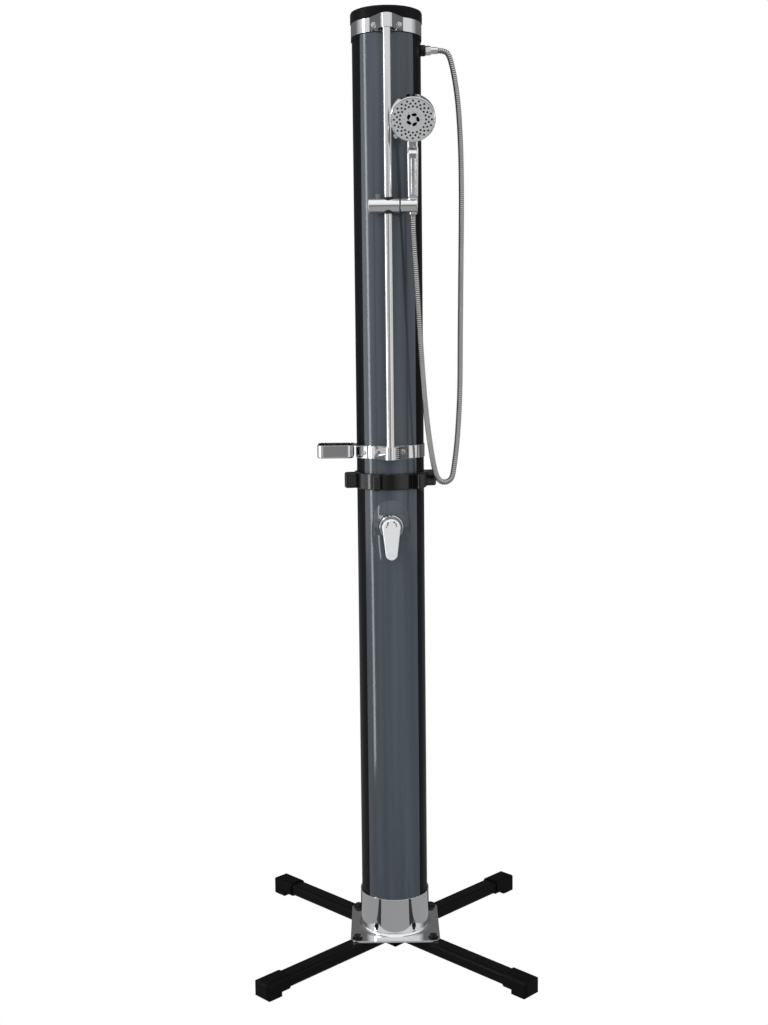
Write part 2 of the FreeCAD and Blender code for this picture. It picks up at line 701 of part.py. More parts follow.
lobe_r = tube_r + S.union_rise
ring_bore = seal_r + S.run_gap
grip_ring = turned([
    (ring_bore, 0), (lobe_r - 1.5, 0), (lobe_r, 1.5), (lobe_r, S.union_height - 1.5),
    (lobe_r - 1.5, S.union_height), (tube_r + S.run_gap, S.union_height),
    (tube_r + S.run_gap, flange_top + S.run_gap - S.union_z), (ring_bore, flange_top + S.run_gap - S.union_z),
], (0, 0, S.union_z))
lobes = []
for n in range(int(S.lobe_count)):
    turn = S.lobe_start + 360 / S.lobe_count * n
    block = rounded(box(S.lobe_width, S.lobe_reach - seal_r - 1, S.union_height, (S.lobe_width / -2, 0, 0)),
                    S.lobe_round, lambda e: abs(e.BoundBox.YMin) < 0.01 and e.BoundBox.YLength < 0.01
                    or runs_along(e, Y_AXIS))
    holder_of_lobe = around(S.lobe_reach, turn, S.union_z)
    block.Placement = Placement(Vector(*holder_of_lobe), spin(turn))
    lobes.append(block)
piece("union_ring", fuse(grip_ring, *lobes))


# --- top cap -------------------------------------------------------------------------------------

cap_r, lip_r = tube_r + S.cap_rise, band_r
seat_r = tube_r - S.seat_gap
groove_in, groove_out = tube_bore - S.seat_gap, tube_r + S.seat_gap
cap_plug_z = tank_top - S.cap_plug
cap_body = turned([
    (groove_in - S.cap_wall, cap_plug_z), (groove_in, cap_plug_z), (groove_in, tank_top + S.seat_gap),
    (groove_out, tank_top + S.seat_gap), (groove_out, lip_z), (lip_r - 0.6, lip_z), (lip_r, lip_z + 0.6),
    (lip_r, upper_band_z - S.seat_gap), (seat_r, upper_band_z - S.seat_gap), (seat_r, head_z + S.seat_gap),
    (cap_r - 0.8, head_z + S.seat_gap), (cap_r, head_z + 1), (cap_r, S.post_height - S.cap_round),
    (cap_r - S.cap_round * 0.3, S.post_height - S.cap_round * 0.3),
    (cap_r - S.cap_round, S.post_height), (0, S.post_height), (0, S.post_height - S.cap_wall),
    (groove_in - S.cap_wall, S.post_height - S.cap_wall),
])
cap_holes = [cylinder(S.screw_size / 2 + S.seat_gap, FAR, (side * screw_half, 0, upper_screw_z), FRONT)
             for side in (-1, 1)]
lip_gap = sector(lip_r + 1, tube_r, lip_z - 1, upper_band_z - 0.2 - lip_z, S.cover_span + 1.2)
piece("top_cap", cut(cap_body, lip_gap, *cap_holes))


# --- brackets, rail and screws -------------------------------------------------------------------

def flank(side, height, z):
    """A straight sheet from the band to the side of the socket, at one side of the bracket."""
    start_turn = math.radians(27)
    start = Vector(math.sin(start_turn), math.cos(start_turn), 0) * (band_r - 1)
    socket = Vector(0, float(S.rail_reach), 0)
    sunk = socket_r - 0.4
    gap = start - socket
    touch_turn = math.atan2(gap.y, gap.x) + math.acos(sunk / gap.Length)
    along = socket + Vector(math.cos(touch_turn), math.sin(touch_turn), 0) * sunk - start
    along_turn = math.degrees(math.atan2(along.y, along.x))
    panel = box(along.Length + 1, S.flank_wall, height)
    turn = Rotation(Z_AXIS, -1 * along_turn) if side > 0 else Rotation(Z_AXIS, along_turn - 180)
    corner = Vector(side * start.x, -1 * start.y, z)
    if side < 0:
        corner += turn.multVec(Vector(0, -1 * S.flank_wall, 0))
    panel.Placement = Placement(corner, turn)
    return panel


def bracket(z, height, screw_z, bore_z, bore_height):
    """A band round the column with a wedge-shaped nose that ends in the socket of the rail."""
    band = cylinder(band_r, height, (0, 0, z))
    socket = cylinder(socket_r, height, (0, rail_line, z))
    flanks = [flank(side, height, z) for side in (-1, 1)]
    bosses = [cylinder(S.boss_od / 2, screw_face - tube_r * 0.9, (side * screw_half, -0.9 * tube_r, screw_z),
                       FRONT)
              for side in (-1, 1)]
    inside = cylinder(tube_r + S.seat_gap, height + 2, (0, 0, z - 1))
    bores = [cylinder(S.screw_size / 2 + S.seat_gap, FAR / 4, (side * screw_half, 0, screw_z), FRONT)
             for side in (-1, 1)]
    sinks = [cylinder(S.screw_head / 2 + S.seat_gap, 20, (side * screw_half, -1 * screw_face, screw_z), FRONT)
             for side in (-1, 1)]
    rail_bore = cylinder(S.rail_od / 2 + S.seat_gap, bore_height, (0, rail_line, bore_z))
    return cut(fuse(band, socket, *flanks, *bosses), inside, rail_bore, *bores, *sinks)


screw_face = S.rail_reach - 16
piece("upper_bracket", bracket(upper_band_z, S.upper_band, upper_screw_z, upper_band_z - 1,
                               rail_end - upper_band_z + 1))
lower_bracket = bracket(S.lower_band_z, S.lower_band, lower_screw_z, rail_foot, S.lower_band)
piece("lower_bracket", cut(lower_bracket, dish_hole))
piece("bracket_screws", group(*[
    pan_screw(20, (side * screw_half, -1 * screw_face, z), FRONT)
    for z in (upper_screw_z, lower_screw_z) for side in (-1, 1)]), 4)
rail_length = rail_end - rail_foot
piece("rail", ring(S.rail_od / 2, S.rail_od / 2 - S.rail_wall, rail_length, (0, rail_line, rail_foot)))
plug_radius = S.rail_od / 2 - S.rail_wall - S.seat_gap
piece("rail_plugs", group(*[disc(plug_radius, 8, (0, rail_line, z)) for z in (rail_foot, rail_end - 8)]), 2)


# --- soap dish -----------------------------------------------------------------------------------

dish_z = S.lower_band_z + S.lower_band - S.dish_height
dish_left, dish_front = -1 * S.dish_edge, S.dish_depth / -2
tab_wall = 2.2
tab_in = band_r + S.seat_gap
dish_body = rounded(box(S.dish_width, S.dish_depth, S.dish_height, (dish_left, dish_front, dish_z)),
                    S.dish_corner, lambda e: runs_along(e, Z_AXIS))
dish_body = rounded(dish_body, 4,
                    lambda e: abs(e.BoundBox.ZMax - dish_z) < 0.01 and e.BoundBox.ZLength < 0.01)
dish_inside = rounded(
    box(S.dish_width - 2 * S.dish_wall, S.dish_depth - 2 * S.dish_wall, S.dish_height,
        (dish_left + S.dish_wall, dish_front + S.dish_wall, dish_z + S.dish_wall)),
    S.dish_corner - S.dish_wall, lambda e: runs_along(e, Z_AXIS))
slot_pitch = S.dish_width / (S.dish_slots + 1)
drains = [box(S.slot_width, S.dish_depth / 2, S.dish_height,
              (dish_left + slot_pitch * (n + 1) - S.slot_width / 2, S.dish_depth / -4, dish_z - 1))
          for n in range(int(S.dish_slots))]
tab_turn = S.dish_screw_turn
tab = cut(cylinder(tab_in + tab_wall, S.dish_height, (0, 0, dish_z), spin(-90 + tab_turn - 20), 26),
          cylinder(tab_in, S.dish_height + 2, (0, 0, dish_z - 1)))
bridge = cut(cylinder(tab_in + 20, 2.5, (0, 0, dish_z + S.dish_height - 2.5), spin(-90 + tab_turn - 62), 56),
             cylinder(tab_in, 6, (0, 0, dish_z + S.dish_height - 4)))
hook = fuse(cut(dish_body, dish_inside, *drains), cut(bridge, dish_inside), tab)
piece("soap_dish", cut(hook, dish_hole))
piece("dish_screw", pan_screw(12, around(tab_in + tab_wall, tab_turn, dish_screw_z), spin(tab_turn) * FRONT))


# --- slider, bush, release button and holder -----------------------------------------------------

slider_r = S.slider_od / 2
axle_r = S.axle_od / 2
bush_in = S.rail_od / 2 + S.run_gap
bush_out = bush_in + S.bush_wall
bush_spot = (0, rail_line, S.slider_z - S.bush_height / 2)
piece("slider_bush", ring(bush_out, bush_in, S.bush_height, bush_spot))

body_length = S.slider_left + S.slider_right
slider_round = turned([
    (0, 0), (slider_r - 1, 0), (slider_r, 1), (slider_r, body_length - 0.5), (slider_r - 0.5, body_length),
    (0, body_length),
], (-1 * S.slider_left, rail_line, S.slider_z), RIGHT)
button_r = S.button_od / 2
bore_floor = S.slider_z - slider_r + 4
button_foot = S.slider_z + 2
button_bore = cylinder(button_r + S.run_gap, S.slider_od, (-1 * S.button_place, rail_line, bore_floor))
upright_bore = cylinder(bush_out + S.run_gap, S.slider_od + 20, (0, rail_line, S.slider_z - slider_r - 10))
axle_start = S.slider_right - S.axle_length + S.holder_gap
axle_bore = cylinder(axle_r + S.run_gap, S.axle_length + 1,
                     (axle_start - S.run_gap, rail_line, S.slider_z), RIGHT)
piece("slider_body", cut(slider_round, upright_bore, button_bore, axle_bore))

button_height = S.button_reach + S.slider_z - button_foot
piece("release_button", turned([
    (0, 0), (button_r, 0), (button_r, button_height - 1.5), (button_r - 1.5, button_height),
    (0, button_height),
], (-1 * S.button_place, rail_line, button_foot)))
spring_r = button_r - 1
piece("button_spring", ring(spring_r, spring_r - S.spring_wall, button_foot - bore_floor,
                            (-1 * S.button_place, rail_line, bore_floor)))

holder_start = S.slider_right + S.holder_gap
washer_start = S.slider_right + S.run_gap
holder_round = turned([
    (0, 0), (slider_r - 0.5, 0), (slider_r, 0.5), (slider_r, S.holder_length - 1),
    (slider_r - 1, S.holder_length), (0, S.holder_length),
], (holder_start, rail_line, S.slider_z), RIGHT)
washer_neck = cylinder(slider_r - 4, S.holder_gap - S.run_gap, (washer_start, rail_line, S.slider_z), RIGHT)
axle = cylinder(axle_r, S.axle_length, (axle_start, rail_line, S.slider_z), RIGHT)
hold_spot, lean = (S.cone_reach, rail_line, S.slider_z), Rotation(X_AXIS, S.tilt)


def held(*objects):
    """Moves objects from the hand shower's own frame to their place in the holder."""
    return put(group(*objects), hold_spot, lean)


half_cone = slider_r + 2
cone_rise = (S.cone_top - S.cone_bottom) / S.slider_od
cone_bore = held(cone(S.cone_bottom - 2 * cone_rise, S.cone_top + 2 * cone_rise, 2 * half_cone,
                        (0, 0, -1 * half_cone)))
mouth = held(box(S.holder_length, S.holder_slot, 4 * half_cone, (0, S.holder_slot / -2, -2 * half_cone)))
piece("holder", cut(fuse(holder_round, washer_neck, axle), cone_bore, mouth))


# --- hand shower ---------------------------------------------------------------------------------

face_turn = Rotation(X_AXIS, 90 + S.face_tilt)
face_spot = (0, -1 * S.face_offset, S.face_reach)


def on_face(*objects):
    """Moves pieces drawn with the face at Z = 0 and the spray going up to their place on the head."""
    return held(put(group(*objects), face_spot, face_turn))


head_r = S.head_od / 2
ring_in = head_r - S.ring_wall
back_r = 24
drum_end = S.head_depth - 11
head_shell = turned([
    (0, -1 * S.head_depth), (back_r, -1 * S.head_depth), (head_r * 0.8, 2.5 - S.head_depth),
    (head_r - 1.7, 7 - S.head_depth), (head_r - 0.3, -1 * drum_end),
    (head_r - 0.3, -1 * S.ring_depth - S.run_gap), (ring_in - S.run_gap, -1 * S.ring_depth - S.run_gap),
    (ring_in - S.run_gap, -1 * S.face_wall - 1.8), (0, -1 * S.face_wall - 1.8),
])
chamber_r = ring_in - S.run_gap - S.head_wall
chamber = turned([
    (0, S.head_wall - S.head_depth), (back_r - 1, S.head_wall - S.head_depth),
    (head_r * 0.8 - 2, S.head_wall + 3 - S.head_depth), (chamber_r, -1 * drum_end),
    (chamber_r, -1 * S.face_wall), (0, -1 * S.face_wall),
])
head_solid = on_face(cut(head_shell, chamber))


def rounded_rectangle(width, depth, corner, z, y=0):
    """A closed wire of four sides and four quarter rounds at a height along the handle."""
    block = Part.makePlane(width, depth, Vector(width / -2, y - depth / 2, z))
    return block.makeOffset2D(-corner).makeOffset2D(corner).OuterWire


grip_start = float(S.slider_od) / 2 + 0.8
grip_sections = [
    rounded_rectangle(float(S.grip_foot) - 2.4, float(S.grip_foot) - 3.4, 8, grip_start),
    rounded_rectangle(float(S.grip_foot), float(S.grip_foot) - 1, 7.5, grip_start + 3),
    rounded_rectangle(float(S.grip_width), float(S.grip_depth), 6.5, float(S.handle_top) - 12),
    rounded_rectangle(float(S.grip_width) - 0.5, float(S.grip_depth) - 10, 5, float(S.handle_top), 5),
]
neck_sections = [
    rounded_rectangle(23.5, 11.5, 5, float(S.handle_top) - 8, 5),
    rounded_rectangle(23.5, 11.5, 5, float(S.handle_top) + 12, 5),
    rounded_rectangle(25, 11, 4.5, float(S.face_reach) - 33, 5),
]
grip = held(feature(Part.makeLoft(grip_sections, True, True)))
neck = held(feature(Part.makeLoft(neck_sections, True, True)))
bend_z, head_way_z = float(S.handle_top) - 18, float(S.face_reach) - 14
water_way = held(feature(bent_rod([(0, 0, -1), (0, 0, bend_z), (0, 5, bend_z + 30), (0, 5, head_way_z)],
                                  S.water_way)))
stub = held(cylinder(S.hose_od / 2 - S.seat_gap, 17, (0, 0, 2)))
flute_line = S.grip_depth / 2 + S.flute_od / 2 - 0.9
flutes = held(*[cylinder(S.flute_od / 2, S.handle_top - 48, (side * S.flute_spread / 2, -1 * flute_line, 26))
                for side in (-1, 1)])
piece("handset_shell", cut(fuse(head_solid, grip, neck, stub), water_way, flutes))

ring_body = turned([
    (ring_in, -1 * S.ring_depth), (head_r, -1 * S.ring_depth), (head_r, -1.2), (head_r - 1.2, 0),
    (ring_in + 1, 0), (ring_in, -0.6),
])
tab_block = rounded(box(9, 8, S.ring_depth - 1, (head_r - 2, -4, -1 * S.ring_depth)), 2.5,
                    lambda e: runs_along(e, Z_AXIS) and e.BoundBox.XMin > head_r)
tab_block.Placement = Placement(Vector(), Rotation(Z_AXIS, 225)) * tab_block.Placement
piece("handset_selector", on_face(fuse(ring_body, cut(tab_block, cylinder(ring_in + 1, 40, (0, 0, -20))))))

nozzle_rings = (0.887, 0.752, 0.616)
nozzle_spots = []
for row, share in enumerate(nozzle_rings):
    for n in range(int(S.nozzle_count)):
        turn = math.radians(360 / S.nozzle_count * (n + row % 2 / 2))
        reach = ring_in * share
        nozzle_spots.append((reach * math.cos(turn), reach * math.sin(turn)))
nozzle_r = S.nozzle_od / 2
face_r = ring_in - S.run_gap
plate_hole = [Part.makeCylinder(nozzle_r + 0.15, 10, Vector(x, y, -6)) for x, y in nozzle_spots]
hole_tool = feature(Part.makeCompound(plate_hole))
face_disc = turned([(0, -1 * S.face_wall - 0.6), (face_r, -1 * S.face_wall - 0.6), (face_r, -0.6), (0, -0.6)])
hub_r = ring_in * 0.15
hub = turned([(0, -0.8), (hub_r, -0.8), (hub_r - 0.8, 0.6), (0, 0.9)])
piece("handset_face", on_face(cut(fuse(face_disc, hub), hole_tool)))
mat_disc = Part.makeCylinder(face_r, 1.0, Vector(0, 0, -1 * S.face_wall - 1.7))
nozzles = [Part.makeCone(nozzle_r, nozzle_r * 0.85, S.face_wall + 1.2, Vector(x, y, -1 * S.face_wall - 1))
           for x, y in nozzle_spots]
piece("handset_nozzles", on_face(feature(mat_disc.multiFuse(nozzles))))

nut_top_z = S.slider_od / 2 + 0.6
nut_gap = S.run_gap
top_r = S.cone_top - nut_gap
foot_r = S.cone_bottom - nut_gap
nut_foot = nut_top_z - S.cone_nut_length
hose_r = S.hose_od / 2
grip_ferrule_r, neck_r = S.ferrule_od / 2 - 0.4, hose_r - S.seat_gap
grip_ferrule = S.hose_seat + 1.5
ferrule_room = grip_ferrule + 2 * S.seat_gap
piece("handset_hose_nut", held(turned([
    (grip_ferrule_r + S.seat_gap, 0), (foot_r - 0.6, 0), (foot_r, 0.8), (top_r, S.cone_nut_length - 1),
    (top_r - 0.6, S.cone_nut_length), (hose_r, S.cone_nut_length), (hose_r, ferrule_room),
    (grip_ferrule_r + S.seat_gap, ferrule_room),
], (0, 0, nut_foot))))
ferrule_foot = nut_foot + S.seat_gap
seat_depth = S.hose_seat + S.run_gap
piece("handset_ferrule", held(turned([
    (hose_r + S.run_gap, 0), (grip_ferrule_r, 0), (grip_ferrule_r, grip_ferrule), (neck_r, grip_ferrule),
    (neck_r, grip_ferrule + 6), (S.hose_bore / 2, grip_ferrule + 6), (S.hose_bore / 2, seat_depth),
    (hose_r + S.run_gap, seat_depth),
], (0, 0, ferrule_foot))))


# --- water outlet and hose -----------------------------------------------------------------------

bush_face = tube_r + S.outlet_bush
nipple_r = S.nipple_od / 2
ferrule_r = S.ferrule_od / 2
outlet = (0, 0, outlet_z)
piece("outlet_nipple", ring(nipple_r, nipple_r - 3, S.hex_length + S.outlet_bush + 16,
                            (tube_r - 18, 0, outlet_z), RIGHT))
flat_bush = cut(turned([
    (nipple_r + S.seat_gap, 0), (nipple_r + 5, 0), (nipple_r + 5, S.outlet_bush - 3),
    (nipple_r + 3.5, S.outlet_bush), (nipple_r + S.seat_gap, S.outlet_bush),
], (tube_r - 0.5, 0, outlet_z), RIGHT), cylinder(tube_r + S.seat_gap, 40, (0, 0, outlet_z - 20)))
piece("outlet_bush", flat_bush)
lock_start = tube_bore - 9
lock_nut = cut(prism(S.nipple_od * 1.5, 8, (lock_start, 0, outlet_z), RIGHT),
               cylinder(nipple_r, 20, (lock_start - 5, 0, outlet_z), RIGHT))
piece("outlet_lock_nut", lock_nut)
hex_start = bush_face - 0.5
hex_nut = cut(common(prism(S.hex_flats, S.hex_length, (hex_start, 0, outlet_z), RIGHT),
                     cone(S.hex_flats * 0.62, S.hex_flats * 0.52, S.hex_length, (hex_start, 0, outlet_z),
                          RIGHT)),
              cylinder(nipple_r + S.seat_gap, FAR / 2, outlet, RIGHT))
piece("outlet_hose_nut", hex_nut)
ferrule_start = hex_start + S.hex_length
shoulder = S.ferrule_length - S.hose_seat
piece("outlet_ferrule", turned([
    (S.hose_bore / 2, 0), (ferrule_r, 0), (ferrule_r, S.ferrule_length - 1),
    (ferrule_r - 0.8, S.ferrule_length),
    (hose_r + S.seat_gap, S.ferrule_length), (hose_r + S.seat_gap, shoulder), (S.hose_bore / 2, shoulder),
], (ferrule_start, 0, outlet_z), RIGHT))

hose_start = Vector(ferrule_start + shoulder + 0.1, 0, outlet_z)
hose_end = Vector(*hold_spot) + lean.multVec(Vector(0, 0, ferrule_foot + S.hose_seat))
route_points = [tuple(hose_start)]
for corners, top_z in ((HOSE_FALL, float(outlet_z)), (HOSE_RISE, hose_end.z)):
    route_points += [(x, y, float(S.loop_z) + share * (top_z - float(S.loop_z))) for x, y, share in corners]
route_points.append(tuple(hose_end))
hose_path, hose_radii = route(route_points)
print("hose length", round(hose_path.Length, 1), "mm, least bend", round(min(hose_radii), 1), "mm")


def ribbed_hose(path, ribs, outer, inner, groove):
    """A hose with a bore and ribs: a ruled skin through four circles a rib, on a steady X axis."""
    plain = S.hose_seat + 1
    pitch = (path.Length - 2 * plain) / ribs
    steady = Vector(0.25, 1, 0).normalize()
    stations = [(0, outer)]
    for rib in range(int(ribs)):
        start = plain + rib * pitch
        stations += [(start + pitch * 0.1, outer - groove), (start + pitch * 0.25, outer),
                     (start + pitch * 0.75, outer), (start + pitch * 0.9, outer - groove)]
    stations.append((path.Length, outer))
    starts, total = [], 0
    for edge in path.OrderedEdges:
        starts.append((total, edge))
        total += edge.Length

    def section(along, radius):
        place, edge = next((s, e) for s, e in reversed(starts) if s <= along + 1e-7)
        at = edge.getParameterByLength(min(along - place, edge.Length))
        centre, ahead = edge.valueAt(at), edge.tangentAt(at)
        across = (steady - ahead * steady.dot(ahead)).normalize()
        frame = Part.Circle(centre, ahead, radius)
        frame.XAxis = across
        return frame.toShape()

    outside = [section(along, radius / 2) for along, radius in stations]
    inside = [section(along, inner / 2) for along in (0, path.Length)]
    rims = [Part.makeFace([Part.Wire(outside[n]), Part.Wire(inside[n])], "Part::FaceMakerBullseye")
            for n in (0, -1)]
    bore = path.makePipeShell([Part.Wire(inside[0])], False, False).Faces
    skin = [Part.makeRuledSurface(first, second) for first, second in zip(outside, outside[1:])]
    shell = Part.makeShell(skin + bore + rims)
    shell.sewShape()
    solid = Part.makeSolid(shell)
    if solid.Volume < 0:
        solid.reverse()
    return solid


hose = ribbed_hose(hose_path, S.hose_ribs, float(S.hose_od), float(S.hose_bore), float(S.rib_depth) * 2)
piece("shower_hose", feature(hose))


# --- mixer ---------------------------------------------------------------------------------------

valve_r = S.valve_od / 2
valve_back = 28
flange_face = 66.5
neck_end = seat_reach - 1
port_half = S.port_spread / 2
port_drop = 34
port_r = S.pipe_od / 2 + 3
valve_block = fuse(
    cylinder(valve_r, neck_end - valve_back, (0, -1 * valve_back, S.mixer_z), FRONT),
    cylinder(valve_r + 4, 3, (0, 3 - flange_face, S.mixer_z), FRONT),
    cylinder(port_r, 2 * port_drop, (-1 * port_half, -1 * S.pipe_line, S.mixer_z)),
    cylinder(port_r, 2 * port_drop, (port_half, -1 * S.pipe_line, S.mixer_z)),
    cylinder(port_r, port_drop, (0, -1 * S.pipe_line, S.mixer_z - port_drop)))
cartridge_r = S.cartridge_od / 2
ports = [cylinder(S.pipe_od / 2 + S.seat_gap, FAR, (x, -1 * S.pipe_line, S.mixer_z + valve_r)) for x in
         (-1 * port_half, port_half)]
ports.append(cylinder(S.pipe_od / 2 + S.seat_gap, FAR, (0, -1 * S.pipe_line, S.mixer_z - valve_r - FAR)))
cartridge_bore = cylinder(cartridge_r + S.seat_gap, FAR, (0, -1 * S.pipe_line - 10, S.mixer_z), FRONT)
piece("mixer_body", cut(valve_block, cartridge_bore, *ports))
stem_r = S.stem_od / 2
stem_depth = 10
ball_cut = ball_reach - 4.5
cartridge_start = S.pipe_line + 10
cartridge_length = ball_cut - 1 - cartridge_start
piece("mixer_cartridge", turned([
    (0, 0), (cartridge_r, 0), (cartridge_r, cartridge_length - 3), (cartridge_r - 5, cartridge_length),
    (stem_r + S.run_gap, cartridge_length), (stem_r + S.run_gap, cartridge_length - stem_depth),
    (0, cartridge_length - stem_depth),
], (0, -1 * cartridge_start, S.mixer_z), FRONT))
clamp_start = rebate_r + 0.3
piece("mixer_nut", ring(valve_r + 4.5, valve_r, 3.4, (0, -1 * clamp_start, S.mixer_z), FRONT))
shield_in, shield_r = S.shield_bore / 2, S.shield_od / 2
piece("mixer_escutcheon", turned([
    (shield_in, 0), (shield_r, 0), (shield_r, S.shield_height - 2), (shield_r - 2, S.shield_height),
    (shield_in + 3, S.shield_height), (shield_in, S.shield_height - 2.5),
], (0, -1 * seat_reach, S.mixer_z), FRONT))
ball_spot = (0, -1 * ball_reach, S.mixer_z)
pin_r = S.pin_od / 2
pin_bore = cylinder(pin_r + S.run_gap, FAR, (FAR / -2, -1 * ball_reach, S.mixer_z), RIGHT)
ball = cut(sphere(S.ball_radius, ball_spot), cylinder(FAR, FAR, (0, -1 * ball_cut, S.mixer_z), BACK),
           pin_bore)
stem = cylinder(stem_r, stem_depth, (0, stem_depth - 1 - ball_cut, S.mixer_z), FRONT)
piece("mixer_carrier", fuse(ball, stem))


def lever_blank():
    """The lever's plan: two rounds of different size joined by their common tangents."""
    body = doc.addObject("PartDesign::Body", "lever_body")
    sketch = body.newObject("Sketcher::SketchObject", "lever_plan")
    base = next(f for f in body.Origin.OriginFeatures if f.Role == "XZ_Plane")
    sketch.AttachmentSupport = [(base, "")]
    sketch.MapMode = "FlatFace"
    big, small, drop = float(S.lever_width) / 2, float(S.lever_tip) / 2, float(S.lever_length)
    lean_in = math.asin((big - small) / drop)
    side = Vector(math.cos(lean_in), -math.sin(lean_in), 0)
    other = Vector(-side.x, side.y, 0)
    tip = Vector(0, -drop, 0)
    top_arc = Part.ArcOfCircle(Part.Circle(Vector(), Vector(0, 0, 1), big), -lean_in, math.pi + lean_in)
    low_arc = Part.ArcOfCircle(Part.Circle(tip, Vector(0, 0, 1), small), math.pi + lean_in,
                               2 * math.pi - lean_in)
    sketch.addGeometry(top_arc, False)
    sketch.addGeometry(Part.LineSegment(other * big, tip + other * small), False)
    sketch.addGeometry(low_arc, False)
    sketch.addGeometry(Part.LineSegment(tip + side * small, side * big), False)
    for a, end_a, b, end_b in ((0, 2, 1, 1), (1, 2, 2, 1), (2, 2, 3, 1), (3, 2, 0, 1)):
        sketch.addConstraint(Sketcher.Constraint("Tangent", a, end_a, b, end_b))
    sketch.addConstraint(Sketcher.Constraint("Coincident", 0, 3, -1, 1))
    sketch.addConstraint(Sketcher.Constraint("PointOnObject", 2, 3, -2))
    for geometry, size in ((0, S.lever_width / 2), (2, S.lever_tip / 2)):
        place = sketch.addConstraint(Sketcher.Constraint("Radius", geometry, float(size)))
        sketch.setExpression(f"Constraints[{place}]", size.formula)
    place = sketch.addConstraint(Sketcher.Constraint("DistanceY", 2, 3, -1, 1, drop))
    sketch.setExpression(f"Constraints[{place}]", S.lever_length.formula)
    pad = body.newObject("PartDesign::Pad", "lever_pad")
    pad.Profile = sketch
    pad.setExpression("Length", S.lever_wall.formula)
    return body


lever_body = put(lever_blank(), (0, -1 * lever_back, S.mixer_z + 1))
lever_round = rounded(lever_body, S.lever_round, lambda e: e.BoundBox.YLength < 0.01)
ear_in = S.ball_radius + S.run_gap
ear_out = ear_in + S.ear_wall
ears = []
for start in (ear_in, -1 * ear_out):
    ears.append(cylinder(S.ear_od / 2, S.ear_wall, (start, -1 * ball_reach, S.mixer_z), RIGHT))
    ears.append(box(S.ear_wall, lever_back - ball_reach + 2, S.ear_od,
                    (start, -1 * lever_back - 2, S.mixer_z - S.ear_od / 2)))
pin = cylinder(pin_r, 2 * ear_out - 1, (0.5 - ear_out, -1 * ball_reach, S.mixer_z), RIGHT)
piece("mixer_lever", fuse(cut(lever_round, sphere(ear_in, ball_spot)), *ears, pin))


# --- water ways inside ---------------------------------------------------------------------------

pipe_y = -1 * S.pipe_line
port_stop = S.mixer_z + valve_r + 3
split_z = joint_high + 40
piece("cold_pipe", pipe([(0, tube_bore - 14, S.inlet_z), (0, pipe_y, S.inlet_z),
                         (0, pipe_y, S.mixer_z - valve_r - 3)],
                        S.pipe_od, S.pipe_wall))
piece("hot_pipe", pipe([(-1 * port_half, pipe_y, port_stop), (-1 * port_half, pipe_y + 1, 1500),
                        (-1 * port_half - 4, pipe_y, outlet_z - 42.5)], S.pipe_od, S.pipe_wall))
piece("riser_lower", ring(S.pipe_od / 2, S.pipe_od / 2 - S.pipe_wall, split_z - port_stop,
                          (port_half, pipe_y, port_stop)))
piece("riser_upper", pipe([(port_half, pipe_y, split_z), (port_half, pipe_y, outlet_z - 112.5),
                           (26, 0, outlet_z), (tube_r - 18, 0, outlet_z)], S.pipe_od, S.pipe_wall))
sleeve_in = S.pipe_od / 2 + S.seat_gap
piece("riser_coupling", ring(sleeve_in + 2.5, sleeve_in, 40, (port_half, pipe_y, split_z - 20)))

inlet_face = tube_r + 4
inlet_body = cut(turned([
    (5, -26), (S.inlet_od / 2, -26), (S.inlet_od / 2, 0), (S.inlet_od / 2 + 5, 0), (S.inlet_od / 2 + 5, 4),
    (S.inlet_od / 2, 4), (S.inlet_od / 2, 4 + S.inlet_length), (5, 4 + S.inlet_length),
], (0, inlet_face - 3, S.inlet_z), BACK),
    cylinder(S.pipe_od / 2 + S.seat_gap, 18, (0, tube_bore - 32, S.inlet_z), BACK))
piece("inlet_fitting", inlet_body)
piece("inlet_lock_nut", cut(prism(S.inlet_od * 1.4, 8, (0, tube_bore - 11, S.inlet_z), BACK),
                            cylinder(S.inlet_od / 2, 30, (0, tube_bore - 20, S.inlet_z), BACK)))
drain_r = S.drain_od / 2
piece("drain_plug", fuse(prism(S.drain_od * 1.35, 7, (0, tube_r + 2, S.drain_z), BACK),
                         cylinder(drain_r + 5, 2, (0, tube_r + 0.6, S.drain_z), BACK),
                         cylinder(drain_r, 14, (0, tube_r - 11, S.drain_z), BACK)))


# --- check and write -----------------------------------------------------------------------------

doc.recompute()
for obj in doc.Objects:
    if "Invalid" in obj.State or "Error" in obj.State:
        raise RuntimeError(f"{obj.Name} ({obj.Label}) is {obj.State}")
os.makedirs("parts", exist_ok=True)
for obj, solids in PARTS:
    shape = obj.Shape
    if shape.isNull() or not shape.isValid():
        raise RuntimeError(f"{obj.Label} has no valid shape")
    if len(shape.Solids) != solids:
        raise RuntimeError(f"{obj.Label} has {len(shape.Solids)} solids, not {solids}")
    shape.exportStep(f"parts/{obj.Label}.step")
print(len(PARTS), "parts written")
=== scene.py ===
"""The looks of an outdoor shower post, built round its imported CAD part. Metres, Z up, front towards -Y."""

import json
import math

import bmesh
import bpy
import numpy as np
from mathutils import Matrix, Vector


